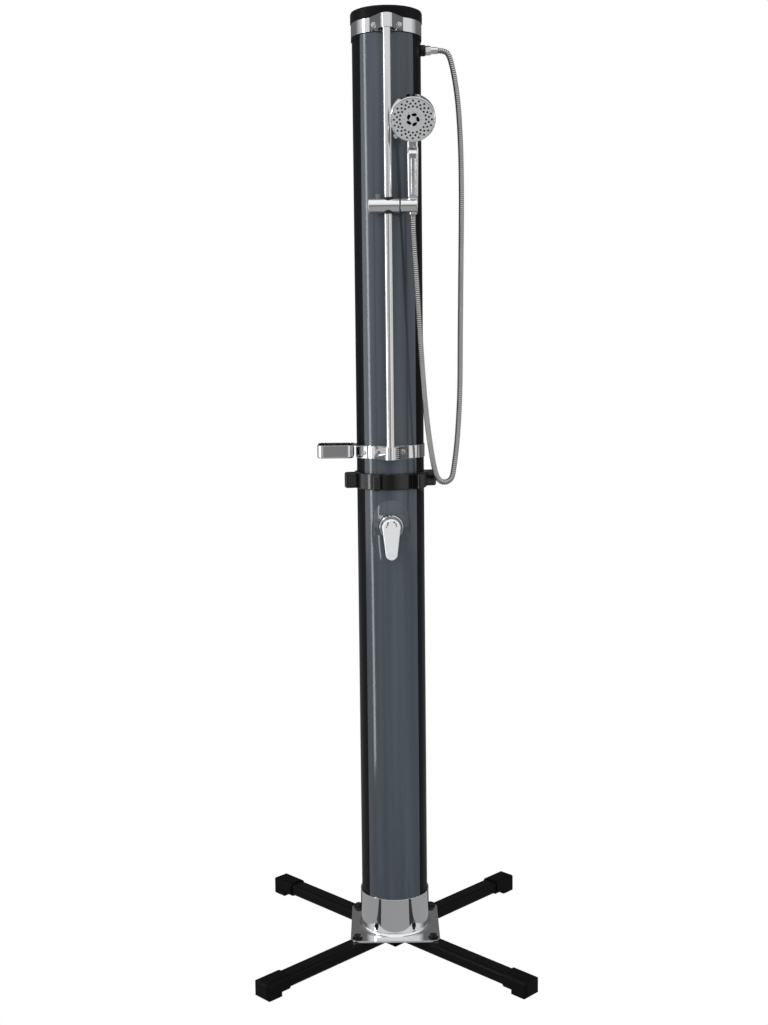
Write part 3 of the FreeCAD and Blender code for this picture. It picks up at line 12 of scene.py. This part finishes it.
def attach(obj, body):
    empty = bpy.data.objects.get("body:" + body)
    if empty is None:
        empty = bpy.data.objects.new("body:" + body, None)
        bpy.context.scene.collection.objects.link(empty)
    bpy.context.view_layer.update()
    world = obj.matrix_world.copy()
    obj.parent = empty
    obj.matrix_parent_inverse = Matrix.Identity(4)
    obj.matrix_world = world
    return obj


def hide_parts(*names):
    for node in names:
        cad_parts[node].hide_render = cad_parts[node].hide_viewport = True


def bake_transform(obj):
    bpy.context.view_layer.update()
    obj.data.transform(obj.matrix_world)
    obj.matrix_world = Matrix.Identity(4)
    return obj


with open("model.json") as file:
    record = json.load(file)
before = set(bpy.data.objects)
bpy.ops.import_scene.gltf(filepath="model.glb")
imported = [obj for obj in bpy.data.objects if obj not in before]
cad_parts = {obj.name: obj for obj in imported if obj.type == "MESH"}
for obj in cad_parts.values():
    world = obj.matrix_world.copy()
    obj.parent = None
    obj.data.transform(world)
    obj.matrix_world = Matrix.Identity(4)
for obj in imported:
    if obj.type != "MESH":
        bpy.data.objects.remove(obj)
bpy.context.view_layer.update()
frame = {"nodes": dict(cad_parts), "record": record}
nodes = frame["nodes"]

FRAME_PX = (768, 1025)  # the photograph's size

# --- camera --------------------------------------------------------------------------------------

LENS_PX = 1334.1
CENTRE_PX = (378.86, 471.3)  # where the camera's axis meets the picture
CAMERA_SPOT = (-0.02212, -3.0767, 1.4164)
YAW, PITCH, ROLL = (math.radians(a) for a in (-0.0904, 5.441, -0.6264))


def aim():
    """The camera's right, up and back directions as a rotation."""
    ahead = Vector((math.sin(YAW) * math.cos(PITCH), math.cos(YAW) * math.cos(PITCH), -math.sin(PITCH)))
    right = Vector((math.cos(YAW), -math.sin(YAW), 0))
    above = right.cross(ahead)
    rolled_right = right * math.cos(ROLL) + above * math.sin(ROLL)
    rolled_above = above * math.cos(ROLL) - right * math.sin(ROLL)
    return Matrix((rolled_right, rolled_above, -ahead)).transposed()


lens = bpy.data.cameras.new("camera")
camera = bpy.data.objects.new("camera", lens)
bpy.context.scene.collection.objects.link(camera)
bpy.context.scene.camera = camera
camera.matrix_world = Matrix.Translation(CAMERA_SPOT) @ aim().to_4x4()
lens.sensor_width = 36  # mm
lens.lens = LENS_PX * lens.sensor_width / max(FRAME_PX)
lens.shift_x = (FRAME_PX[0] / 2 - CENTRE_PX[0]) / max(FRAME_PX)
lens.shift_y = (CENTRE_PX[1] - FRAME_PX[1] / 2) / max(FRAME_PX)
lens.clip_end = 50

# --- node helpers --------------------------------------------------------------------------------


class Shader:
    """A material's or a world's node tree, with short calls to add and join nodes."""

    def __init__(self, tree):
        self.tree = tree
        tree.nodes.clear()

    def add(self, kind, **settings):
        node = self.tree.nodes.new("ShaderNode" + kind)
        for name, value in settings.items():
            setattr(node, name, value)
        return node

    def join(self, out, into):
        self.tree.links.new(out, into)

    def math(self, operation, first, second):
        """A sum, product or other step between two outputs or numbers."""
        node = self.add("Math", operation=operation)
        for socket, value in zip(node.inputs, (first, second)):
            if isinstance(value, (int, float)):
                socket.default_value = value
            else:
                self.join(value, socket)
        return node.outputs[0]

    def noise(self, scale, detail, stretch=(1, 1, 1)):
        """Noise in the part's own coordinates, scale in turns per metre."""
        place = self.add("TexCoord")
        mapping = self.add("Mapping")
        mapping.inputs["Scale"].default_value = stretch
        self.join(place.outputs["Object"], mapping.inputs["Vector"])
        node = self.add("TexNoise")
        node.inputs["Scale"].default_value = scale
        node.inputs["Detail"].default_value = detail
        self.join(mapping.outputs[0], node.inputs["Vector"])
        return node.outputs["Fac"]

    def ramp(self, value, stops):
        """A colour ramp through (place, colour) stops, where a number is a grey."""
        node = self.add("ValToRGB")
        points = node.color_ramp.elements
        while len(points) < len(stops):
            points.new(0.5)
        for point, (place, colour) in zip(points, stops):
            grey = isinstance(colour, (int, float))
            point.position = place
            point.color = (colour,) * 3 + (1,) if grey else tuple(colour) + (1,)
        self.join(value, node.inputs["Fac"])
        return node.outputs["Color"]


PATCH_SCALE, SMEAR_SCALE = 9, 23  # turns per metre of the uneven colour and of the uneven gloss


def material(name, colour, rough, metal=0.0, specular=0.5, ior=1.5, spread=0.1, grain=None, streaks=None,
             wear=0.08, soft_edge=0.0):
    """A surface with uneven colour and gloss, and where given a relief and rounded edges.

    spread and wear are how much the colour and the gloss vary. grain is (scale, depth in metres) of an
    even relief, and streaks is the same for one drawn out along Z. soft_edge is the edges' radius.
    """
    made = bpy.data.materials.new(name)
    made.use_nodes = True
    made.diffuse_color = tuple(colour) + (1,)
    shader = Shader(made.node_tree)
    surface = shader.add("BsdfPrincipled")
    surface.inputs["Metallic"].default_value = metal
    surface.inputs["Specular IOR Level"].default_value = specular
    surface.inputs["IOR"].default_value = ior
    if streaks:
        patches = shader.noise(streaks[0], 4.0, (1, 1, 0.02))
    else:
        patches = shader.noise(PATCH_SCALE, 4.0)
    dark, light = ([max(0, c * (1 + s)) for c in colour] for s in (-spread, spread))
    shader.join(shader.ramp(patches, [(0.3, dark), (0.7, light)]), surface.inputs["Base Color"])
    glossy, dull = rough * (1 - wear), rough * (1 + wear)
    smears = shader.ramp(shader.noise(SMEAR_SCALE, 5.0), [(0.3, glossy), (0.75, dull)])
    shader.join(smears, surface.inputs["Roughness"])
    height = None
    if grain:
        height = shader.math("MULTIPLY", shader.noise(grain[0], 2.0), grain[1])
    elif streaks:
        height = shader.math("MULTIPLY", shader.noise(streaks[0] * 3, 2.0, (1, 1, 0.01)), streaks[1])
    edge = None
    if soft_edge:
        edge = shader.add("Bevel", samples=6)
        edge.inputs["Radius"].default_value = soft_edge
    if height is not None:
        bump = shader.add("Bump")
        bump.inputs["Strength"].default_value = 1
        bump.inputs["Distance"].default_value = 1
        shader.join(height, bump.inputs["Height"])
        if edge:
            shader.join(edge.outputs[0], bump.inputs["Normal"])
        shader.join(bump.outputs[0], surface.inputs["Normal"])
    elif edge:
        shader.join(edge.outputs[0], surface.inputs["Normal"])
    out = shader.add("OutputMaterial")
    shader.join(surface.outputs[0], out.inputs["Surface"])
    return made


LOOKS = {
    "tank_black": material("tank_black", (0.005, 0.0052, 0.0065), 0.3, specular=0.3, ior=1.2, spread=0.2,
                           streaks=(60, 0.000012)),
    "cover_grey": material("cover_grey", (0.047, 0.058, 0.071), 0.12, spread=0.3,
                           streaks=(38, 0.000004)),
    "chrome": material("chrome", (0.72, 0.725, 0.74), 0.07, metal=1, spread=0.03, wear=0.35,
                       soft_edge=0.0012),
    "satin_chrome": material("satin_chrome", (0.70, 0.71, 0.73), 0.24, metal=1, spread=0.03, wear=0.15,
                             soft_edge=0.0006),
    "leg_black": material("leg_black", (0.0035, 0.0035, 0.004), 0.36, specular=0.35, ior=1.2, spread=0.15,
                          grain=(900, 0.00001), soft_edge=0.0015),
    "foot_black": material("foot_black", (0.003, 0.003, 0.0035), 0.45, specular=0.3, ior=1.2, spread=0.2,
                           grain=(1400, 0.00002), soft_edge=0.0015),
    "union_black": material("union_black", (0.002, 0.0022, 0.0025), 0.13, spread=0.2,
                            grain=(300, 0.00002), soft_edge=0.0015),
    "face_grey": material("face_grey", (0.40, 0.41, 0.41), 0.3, spread=0.03,
                          grain=(1500, 0.00001), soft_edge=0.0004),
    "nozzle_black": material("nozzle_black", (0.002, 0.002, 0.002), 0.5, specular=0.0, spread=0.2,
                             grain=(2000, 0.00001)),
    "button_grey": material("button_grey", (0.10, 0.11, 0.12), 0.25, spread=0.1,
                            grain=(600, 0.00001), soft_edge=0.0006),
    "bush_black": material("bush_black", (0.005, 0.005, 0.0055), 0.4, specular=0.35, spread=0.15,
                           grain=(900, 0.00001)),
    "bolt_black": material("bolt_black", (0.0035, 0.0035, 0.0035), 0.35, specular=0.35, spread=0.2,
                           grain=(1500, 0.00002), soft_edge=0.0005),
    "screw_steel": material("screw_steel", (0.55, 0.55, 0.56), 0.22, metal=1, spread=0.06, soft_edge=0.0003),
    "seal_black": material("seal_black", (0.006, 0.006, 0.006), 0.5, specular=0.3, spread=0.2,
                           grain=(1200, 0.00002)),
    "pipe_white": material("pipe_white", (0.6, 0.6, 0.58), 0.4, spread=0.04, grain=(500, 0.00001)),
    "brass": material("brass", (0.60, 0.44, 0.20), 0.3, metal=1, spread=0.08, grain=(800, 0.00001)),
    "ring_dark": material("ring_dark", (0.5, 0.5, 0.52), 0.1, metal=1, spread=0.03, soft_edge=0.0004),
    "spring_steel": material("spring_steel", (0.5, 0.5, 0.52), 0.3, metal=1, spread=0.05,
                             grain=(900, 0.00001)),
    "hose_steel": material("hose_steel", (0.56, 0.555, 0.54), 0.2, metal=1, spread=0.05, wear=0.2),
    # Painted shade: a dark metal for the recesses between the hose's ribs.
    "hose_groove_painted_shade": material("hose_groove_painted_shade", (0.06, 0.06, 0.058), 0.4, metal=1, spread=0.1,
                            grain=(900, 0.00001)),
}
# The mixer's lever is paler and duller than the other satin pieces.
LEVER_LOOK = material("lever_satin", (0.85, 0.86, 0.87), 0.3, metal=0.4, spread=0.02, soft_edge=0.0006)
SLOT_OF = {entry["node"]: entry["material_slot"] for entry in frame["record"]["subparts"]}
for name, node in nodes.items():
    node.data.materials.clear()
    node.data.materials.append(LEVER_LOOK if name == "mixer_lever" else LOOKS[SLOT_OF[name]])

# --- the hose ------------------------------------------------------------------------------------

# The corners that the hose's line bends round, from the outlet down into the loop and up to the
# hand shower.
HOSE_LINE = [
    (0.1068, 0, 2.0725),
    (0.1315, 0, 2.0725),
    (0.142, 0, 2.06),
    (0.149, 0, 2.033),
    (0.1565, -0.0005, 1.992),
    (0.1625, -0.001, 1.935),
    (0.1665, -0.003, 1.85),
    (0.1672, -0.005, 1.74),
    (0.165, -0.008, 1.6),
    (0.1625, -0.011, 1.44),
    (0.161, -0.016, 1.31),
    (0.1565, -0.022, 1.233),
    (0.1515, -0.0285, 1.178),
    (0.1455, -0.0355, 1.137),
    (0.141, -0.041, 1.111),
    (0.13, -0.0455, 1.1015),
    (0.1165, -0.0505, 1.1015),
    (0.105, -0.056, 1.1123),
    (0.0975, -0.06, 1.1421),
    (0.0888, -0.0655, 1.1946),
    (0.0802, -0.0715, 1.2666),
    (0.0731, -0.078, 1.3571),
    (0.0676, -0.083, 1.4496),
    (0.0621, -0.087, 1.5443),
    (0.057, -0.0918, 1.6245),
    (0.0543, -0.0954, 1.6735),
    (0.0543, -0.103, 1.7095),
]
HOSE_LENGTH, HOSE_OD = 1.641, 0.013
HOSE_SIDES, RIB_STEPS = 20, 6  # corners round the hose, and rings of them in a rib
RIB_PITCH, RIB_DEPTH = 0.0046, 0.0014
PLAIN_END, END_PLAY = 0.009, 0.0002  # the length of the plain ends, and how much their radius is less


def follow(points):
    """Points close together along the smooth line that a cord's corners guide."""
    curve = bpy.data.curves.new("guide", "CURVE")
    curve.dimensions = "3D"
    curve.resolution_u = 48
    line = curve.splines.new("NURBS")
    line.points.add(len(points) - 1)
    for spot, place in zip(line.points, points):
        spot.co = (*place, 1)
    line.order_u = 3
    line.use_endpoint_u = True
    guide = bpy.data.objects.new("guide", curve)
    bpy.context.scene.collection.objects.link(guide)
    mesh = bpy.data.meshes.new_from_object(guide)
    path = np.array([v.co for v in mesh.vertices])
    bpy.data.objects.remove(guide)
    return path


def even(path, step):
    """Places at even steps along a path, and the way it runs there."""
    legs = np.linalg.norm(np.diff(path, axis=0), axis=1)
    along = np.concatenate([[0], np.cumsum(legs)])
    stops = np.linspace(0, along[-1], int(round(along[-1] / step)) + 1)
    places = np.stack([np.interp(stops, along, path[:, k]) for k in range(3)], axis=1)
    ways = np.gradient(places, axis=0)
    return stops, places, ways / np.linalg.norm(ways, axis=1)[:, None]


def new_object(name, mesh, look, body, smooth=True):
    """A mesh as an object with its material, riding on a body."""
    for face in mesh.polygons:
        face.use_smooth = smooth
    mesh.materials.append(LOOKS[look])
    made = bpy.data.objects.new(name, mesh)
    bpy.context.scene.collection.objects.link(made)
    if body:
        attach(made, body)
    return made


def tube(name, path, radius_at, sides, step):
    """A closed tube along a path whose radius is a function of the distance along it."""
    stops, places, ways = even(path, step)
    across = np.array([0, 1, 0.0])
    turns = np.linspace(0, 2 * math.pi, sides, endpoint=False)
    rings = []
    for stop, place, way in zip(stops, places, ways):
        across = across - way * (across @ way)
        across /= np.linalg.norm(across)
        other = np.cross(way, across)
        radius = radius_at(stop, stops[-1])
        rings.append(place + radius * (np.outer(np.cos(turns), across) + np.outer(np.sin(turns), other)))
    verts = np.concatenate(rings)
    faces = []
    for n in range(len(rings) - 1):
        for k in range(sides):
            a, b = n * sides + k, n * sides + (k + 1) % sides
            faces.append((a, b, b + sides, a + sides))
    last = (len(rings) - 1) * sides
    faces += [tuple(reversed(range(sides))), tuple(last + k for k in range(sides))]
    mesh = bpy.data.meshes.new(name)
    mesh.from_pydata(verts.tolist(), [], faces)
    mesh.update()
    return mesh


def rib_radius(stop, length):
    """The hose's radius: rounded ribs, with plain ends inside the ferrules."""
    full = HOSE_OD / 2
    if stop < PLAIN_END or length - stop < PLAIN_END:
        return full - END_PLAY
    return full - RIB_DEPTH * (1 - abs(math.sin(math.pi * stop / RIB_PITCH)))


hose_path = follow(HOSE_LINE)
hose_mesh = tube("hose", hose_path, rib_radius, HOSE_SIDES, RIB_PITCH / RIB_STEPS)
hose = new_object("hose", hose_mesh, "hose_steel", None)
hose_mesh.materials.append(LOOKS["hose_groove_painted_shade"])
for face in hose_mesh.polygons:  # painted shade: the grooves between the ribs get a dark material
    ring = face.index // HOSE_SIDES
    if ring % RIB_STEPS in (0, RIB_STEPS - 1):
        face.material_index = 1
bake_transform(hose)
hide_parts("shower_hose")

# --- small parts of the hand shower and the lever ------------------------------------------------


class Plane:
    """A flat place on the part: its middle, and its right, up and outward directions."""

    def __init__(self, middle, outward):
        self.middle = Vector(middle)
        self.outward = Vector(outward).normalized()
        self.right = Vector((1, 0, 0))
        self.up = self.outward.cross(self.right)

    def at(self, x, y, z):
        """A place given in millimetres on the plane."""
        return self.middle + (self.right * x + self.up * y + self.outward * z) / 1000


def bridge(bm, low, high):
    """Faces between two closed rows of corners."""
    for n in range(len(low)):
        after = (n + 1) % len(low)
        bm.faces.new((low[n], low[after], high[after], high[n]))


def closed_mesh(bm, name):
    """The mesh of a finished solid, its faces turned outwards."""
    bmesh.ops.recalc_face_normals(bm, faces=bm.faces)
    mesh = bpy.data.meshes.new(name)
    bm.to_mesh(mesh)
    bm.free()
    return mesh


def inlay(name, plane, outlines, foot, top, look, body):
    """Thin flat pieces with softened rims on a plane, from their outlines in millimetres."""
    bm = bmesh.new()
    for outline in outlines:
        middle = sum((Vector(p) for p in outline), Vector((0, 0))) / len(outline)
        rings = []
        for share, z in ((1, foot), (1, top - (top - foot) * 0.35), (0.9, top)):
            spots = [middle + (Vector(p) - middle) * share for p in outline]
            rings.append([bm.verts.new(plane.at(p.x, p.y, z)) for p in spots])
        for low, high in zip(rings, rings[1:]):
            bridge(bm, low, high)
        bm.faces.new(rings[-1])
        bm.faces.new(list(reversed(rings[0])))
    made = new_object(name, closed_mesh(bm, name), look, body, smooth=False)


def round_outline(x, y, radius, sides=16):
    steps = [2 * math.pi * n / sides for n in range(sides)]
    return [(x + radius * math.cos(t), y + radius * math.sin(t)) for t in steps]


COMMA_SPAN, COMMA_WIDTH, COMMA_REACH = 62, 7.2, 10.8  # degrees and millimetres
COMMA_DRIFT = 1.6  # how much nearer the hub its tail ends than its head starts, in millimetres
COMMA_STEPS = 9
SLOTS, SLOT_TURN = 5, 7  # how many commas, and the first one's angle


def comma(turn):
    """A comma bent round the hub, wide at its head and narrow at its tail."""
    outer, inner = [], []
    for n in range(COMMA_STEPS + 1):
        share = n / COMMA_STEPS
        angle = math.radians(turn + COMMA_SPAN * (share - 0.5))
        half = COMMA_WIDTH / 2 * math.sqrt(max(0.02, math.sin(math.pi * share**0.6)))
        middle = COMMA_REACH + COMMA_DRIFT * (0.5 - share)
        outer.append(((middle + half) * math.cos(angle), (middle + half) * math.sin(angle)))
        inner.append(((middle - half) * math.cos(angle), (middle - half) * math.sin(angle)))
    return outer + inner[::-1]


MIST_HOLES, MIST_REACH, MIST_RADIUS = 12, 18.1, 0.75
COLLARS, COLLAR_REACHES, COLLAR_RADIUS = 20, (40.8, 34.6, 28.3), 2.3
FACE_TILT = math.radians(26)
SUNK = -0.9  # where the marks on the face start, in millimetres from the plane
spray_face = Plane((0.0543, -0.16467, 1.89372), (0, -math.cos(FACE_TILT), -math.sin(FACE_TILT)))
slots = [comma(SLOT_TURN + 360 / SLOTS * n) for n in range(SLOTS)]
inlay("spray_slots", spray_face, slots, SUNK, -0.35, "nozzle_black", "handset")

holes = []
for n in range(MIST_HOLES):
    turn = 2 * math.pi * n / MIST_HOLES
    holes.append(round_outline(MIST_REACH * math.cos(turn), MIST_REACH * math.sin(turn), MIST_RADIUS, 10))
inlay("mist_holes", spray_face, holes, SUNK, -0.45, "nozzle_black", "handset")

collars = []
for row, reach in enumerate(COLLAR_REACHES):
    for n in range(COLLARS):
        turn = 2 * math.pi / COLLARS * (n + row % 2 / 2)
        collars.append(round_outline(reach * math.cos(turn), reach * math.sin(turn), COLLAR_RADIUS, 12))
inlay("nozzle_collars", spray_face, collars, SUNK, -0.45, "nozzle_black", "handset")

RIM_REACH = 48.7  # just inside the head's round side, in millimetres from the hub
RIM_FRONT, RIM_BACK = -9.9, -24  # millimetres from the face's plane
RIM_STEPS = 8


def rim_mark(name, turn, span):
    """A soft pad let into the round side of the spray head."""
    middle = (RIM_BACK + RIM_FRONT) / 2
    bm = bmesh.new()
    rows = []
    for lift, shrink in ((-0.3, 1.0), (0.12, 1.0), (0.2, 0.8)):
        half = (RIM_FRONT - RIM_BACK) / 2 * shrink
        turns = [math.radians(turn + span * shrink * (n / RIM_STEPS - 0.5)) for n in range(RIM_STEPS + 1)]
        row = [(t, middle - half) for t in turns] + [(t, middle + half) for t in reversed(turns)]
        reach = RIM_REACH + lift
        spots = [spray_face.at(reach * math.cos(t), reach * math.sin(t), z) for t, z in row]
        rows.append([bm.verts.new(spot) for spot in spots])
    for low, high in zip(rows, rows[1:]):
        bridge(bm, low, high)
    for row in (rows[0], rows[-1]):
        for n in range(RIM_STEPS):
            other = len(row) - 1 - n
            bm.faces.new((row[n], row[n + 1], row[other - 1], row[other]))
    made = new_object(name, closed_mesh(bm, name), "nozzle_black", "handset", smooth=False)


rim_mark("rim_mark_wide", 101.5, 10)
rim_mark("rim_mark_thin", 91.5, 2.2)

RING_MIDDLE = Vector((0, -0.105, 1.7188))  # on the holder's tilting axis
RING_FROM, RING_TO = 25.0, 27.3  # millimetres along that axis
RING_OUTER, RING_BORE, RING_EDGE = 15.3, 12.85, 0.3
RING_SIDES = 96


def joint_ring():
    """The dark seal that shows between the slider and the holder."""
    profile = [
        (RING_FROM, RING_BORE), (RING_FROM, RING_OUTER - RING_EDGE), (RING_FROM + RING_EDGE, RING_OUTER),
        (RING_TO - RING_EDGE, RING_OUTER), (RING_TO, RING_OUTER - RING_EDGE), (RING_TO, RING_BORE),
    ]
    turns = [2 * math.pi * n / RING_SIDES for n in range(RING_SIDES)]
    bm = bmesh.new()
    rings = []
    for x, radius in profile:
        spots = [Vector((x, radius * math.cos(t), radius * math.sin(t))) / 1000 for t in turns]
        rings.append([bm.verts.new(RING_MIDDLE + spot) for spot in spots])
    for first, second in zip(rings, rings[1:] + rings[:1]):
        bridge(bm, first, second)
    new_object("joint_ring", closed_mesh(bm, "joint_ring"), "seal_black", "holder", smooth=False)


joint_ring()

lever_front = Plane((0, -0.1115, 1.0053), (0, -1, 0))
# Two rows of dots that curve round the lever's head: place and radius in millimetres.
LEVER_DOTS = [
    (-7.6, 11.2, 2), (-8.8, 6.8, 1.8), (-11, 2.2, 1.6),
    (6.3, 13.3, 2), (10.1, 9.4, 1.8), (11.5, 5, 1.6),
]
dots = [round_outline(x, y, radius) for x, y, radius in LEVER_DOTS]
inlay("lever_dots", lever_front, dots, -0.3, 0.15, "nozzle_black", "lever")

# A painted highlight along the lever's tip, between two arcs: a pale piece where the dished tip catches the
# light.
tip_turns = [math.radians(200 + 140 * n / 12) for n in range(13)]
tip_low = [(7.5 * math.cos(t), -57 + 7.5 * math.sin(t)) for t in tip_turns]
tip_high = [(7.2 * math.cos(t), -55.6 + 5.2 * math.sin(t)) for t in reversed(tip_turns)]
inlay("lever_tip_painted_highlight", lever_front, [tip_low + tip_high], -0.3, 0.2, "pipe_white", "lever")

# --- stage ---------------------------------------------------------------------------------------


SOFT_LIGHT, GLOSS_LIGHT = 0.72, 1.6  # the room's strength on matt surfaces and in the gloss
FLOOR_GLOSS = 0.39  # the floor's brightness in the chrome
WALLS = [  # grey by degrees from the front
    (-180, 0.07), (-140, 0.06), (-114, 0.12), (-104, 0.9), (-84, 0.85), (-74, 0.52), (-54, 0.5), (-52, 0.03),
    (-48, 0.03), (-45, 0.5), (-24, 0.34), (-6, 0.17), (6, 0.13), (20, 0.4), (36, 0.62), (57, 0.6), (59, 0.03),
    (63, 0.03), (66, 0.56), (98, 0.5), (112, 0.15), (124, 0.03), (132, 0.1), (180, 0.07),
]
# The ceiling's grey by height, and the share of it that shows by degrees from the front.
CEILING = [(0.1, 0.45), (0.3, 0.6), (0.5, 0.7), (0.75, 0.75)]
REAR = [(-180, 0.15), (-115, 0.2), (-88, 1), (88, 1), (115, 0.2), (180, 0.15)]


def studio():
    """White to the camera, soft to matt surfaces, and walls and a bright ceiling to the gloss.

    The walls' brightness goes by compass angle from the front, with dark gaps between the panels.
    """
    world = bpy.data.worlds.new("studio")
    bpy.context.scene.world = world
    world.use_nodes = True
    shader = Shader(world.node_tree)
    place = shader.add("TexCoord")
    parts = shader.add("SeparateXYZ")
    shader.join(place.outputs["Generated"], parts.inputs[0])
    depth = shader.math("MULTIPLY", parts.outputs["Y"], -1.0)
    angle = shader.math("ARCTAN2", parts.outputs["X"], depth)
    compass = shader.math("ADD", shader.math("DIVIDE", angle, 2 * math.pi), 0.5)
    walls = shader.ramp(compass, [(degrees / 360 + 0.5, grey) for degrees, grey in WALLS])
    ceiling = shader.ramp(parts.outputs["Z"], CEILING)
    height = shader.ramp(parts.outputs["Z"], [(0.08, 0), (0.2, 1)])
    rear = shader.add("MixRGB", blend_type="MULTIPLY")
    rear.inputs["Fac"].default_value = 1
    shader.join(ceiling, rear.inputs["Color1"])
    shader.join(shader.ramp(compass, [(degrees / 360 + 0.5, grey) for degrees, grey in REAR]),
                rear.inputs["Color2"])
    room = shader.add("MixRGB")
    shader.join(height, room.inputs["Fac"])
    shader.join(walls, room.inputs["Color1"])
    shader.join(rear.outputs[0], room.inputs["Color2"])
    lights = []
    for colour, strength in (((1, 1, 1, 1), 1.0), ((0.97, 0.985, 1, 1), SOFT_LIGHT), (None, GLOSS_LIGHT)):
        light = shader.add("Background")
        light.inputs["Strength"].default_value = strength
        if colour:
            light.inputs["Color"].default_value = colour
        else:
            shader.join(room.outputs[0], light.inputs["Color"])
        lights.append(light)
    rays = shader.add("LightPath")
    first, second = shader.add("MixShader"), shader.add("MixShader")
    shader.join(rays.outputs["Is Glossy Ray"], first.inputs["Fac"])
    shader.join(lights[1].outputs[0], first.inputs[1])
    shader.join(lights[2].outputs[0], first.inputs[2])
    shader.join(rays.outputs["Is Camera Ray"], second.inputs["Fac"])
    shader.join(first.outputs[0], second.inputs[1])
    shader.join(lights[0].outputs[0], second.inputs[2])
    out = shader.add("OutputWorld")
    shader.join(second.outputs[0], out.inputs["Surface"])


studio()


def area_light(name, spot, target, size, power, mirrored=False):
    """A soft panel of light, which the gloss shows only where it is mirrored."""
    data = bpy.data.lights.new(name, "AREA")
    data.shape = "RECTANGLE"
    data.size, data.size_y = size
    data.energy = power
    data.specular_factor = 1.0 if mirrored else 0.0
    light = bpy.data.objects.new(name, data)
    bpy.context.scene.collection.objects.link(light)
    light.location = spot
    light.rotation_euler = (Vector(target) - Vector(spot)).to_track_quat("-Z", "Y").to_euler()
    light.visible_glossy = mirrored
    return light


area_light("key", (-2.2, -2.6, 2.9), (0, 0, 1.1), (1.6, 2.4), 42)
area_light("fill", (2.4, -2.2, 1.6), (0, 0, 1.0), (1.6, 2.4), 18)

# A tall narrow light to the left, its top leaning back, draws the thin bright line down the covers.
STRIP_TURN, STRIP_LEAN = math.radians(-71.5), math.radians(6.7)
STRIP_AWAY, STRIP_WIDTH, STRIP_HEIGHT = 1.4, 0.18, 2.54
outward = Vector((math.sin(STRIP_TURN), -math.cos(STRIP_TURN), 0))
half_way = Vector((0, 0, STRIP_HEIGHT / 2))
strip = area_light("strip", outward * STRIP_AWAY + half_way, half_way, (STRIP_WIDTH, STRIP_HEIGHT), 9,
                   mirrored=True)
strip.rotation_euler = (strip.rotation_euler.to_matrix() @ Matrix.Rotation(STRIP_LEAN, 3, "Z")).to_euler()

FLOOR_HALF = 6
FLOOR_DROP = 0.0003  # how far the floor lies under the feet


def floor():
    """A white floor that the camera sees as plain as the paper behind it."""
    mesh = bpy.data.meshes.new("floor")
    bm = bmesh.new()
    bmesh.ops.create_grid(bm, x_segments=1, y_segments=1, size=FLOOR_HALF)
    bm.to_mesh(mesh)
    bm.free()
    made = bpy.data.objects.new("floor", mesh)
    made.location.z = -FLOOR_DROP
    bpy.context.scene.collection.objects.link(made)
    paper = bpy.data.materials.new("paper")
    paper.use_nodes = True
    shader = Shader(paper.node_tree)
    matte = shader.add("BsdfDiffuse")
    matte.inputs["Color"].default_value = (0.85, 0.85, 0.85, 1)
    rays = shader.add("LightPath")
    seen = matte.outputs[0]
    for ray, level in (("Is Glossy Ray", FLOOR_GLOSS), ("Is Camera Ray", 1.0)):
        glow = shader.add("Emission")
        glow.inputs["Color"].default_value = (level, level, level, 1)
        mix = shader.add("MixShader")
        shader.join(rays.outputs[ray], mix.inputs["Fac"])
        shader.join(seen, mix.inputs[1])
        shader.join(glow.outputs[0], mix.inputs[2])
        seen = mix.outputs[0]
    out = shader.add("OutputMaterial")
    shader.join(seen, out.inputs["Surface"])
    mesh.materials.append(paper)


floor()
bpy.context.scene.view_settings.view_transform = "Standard"
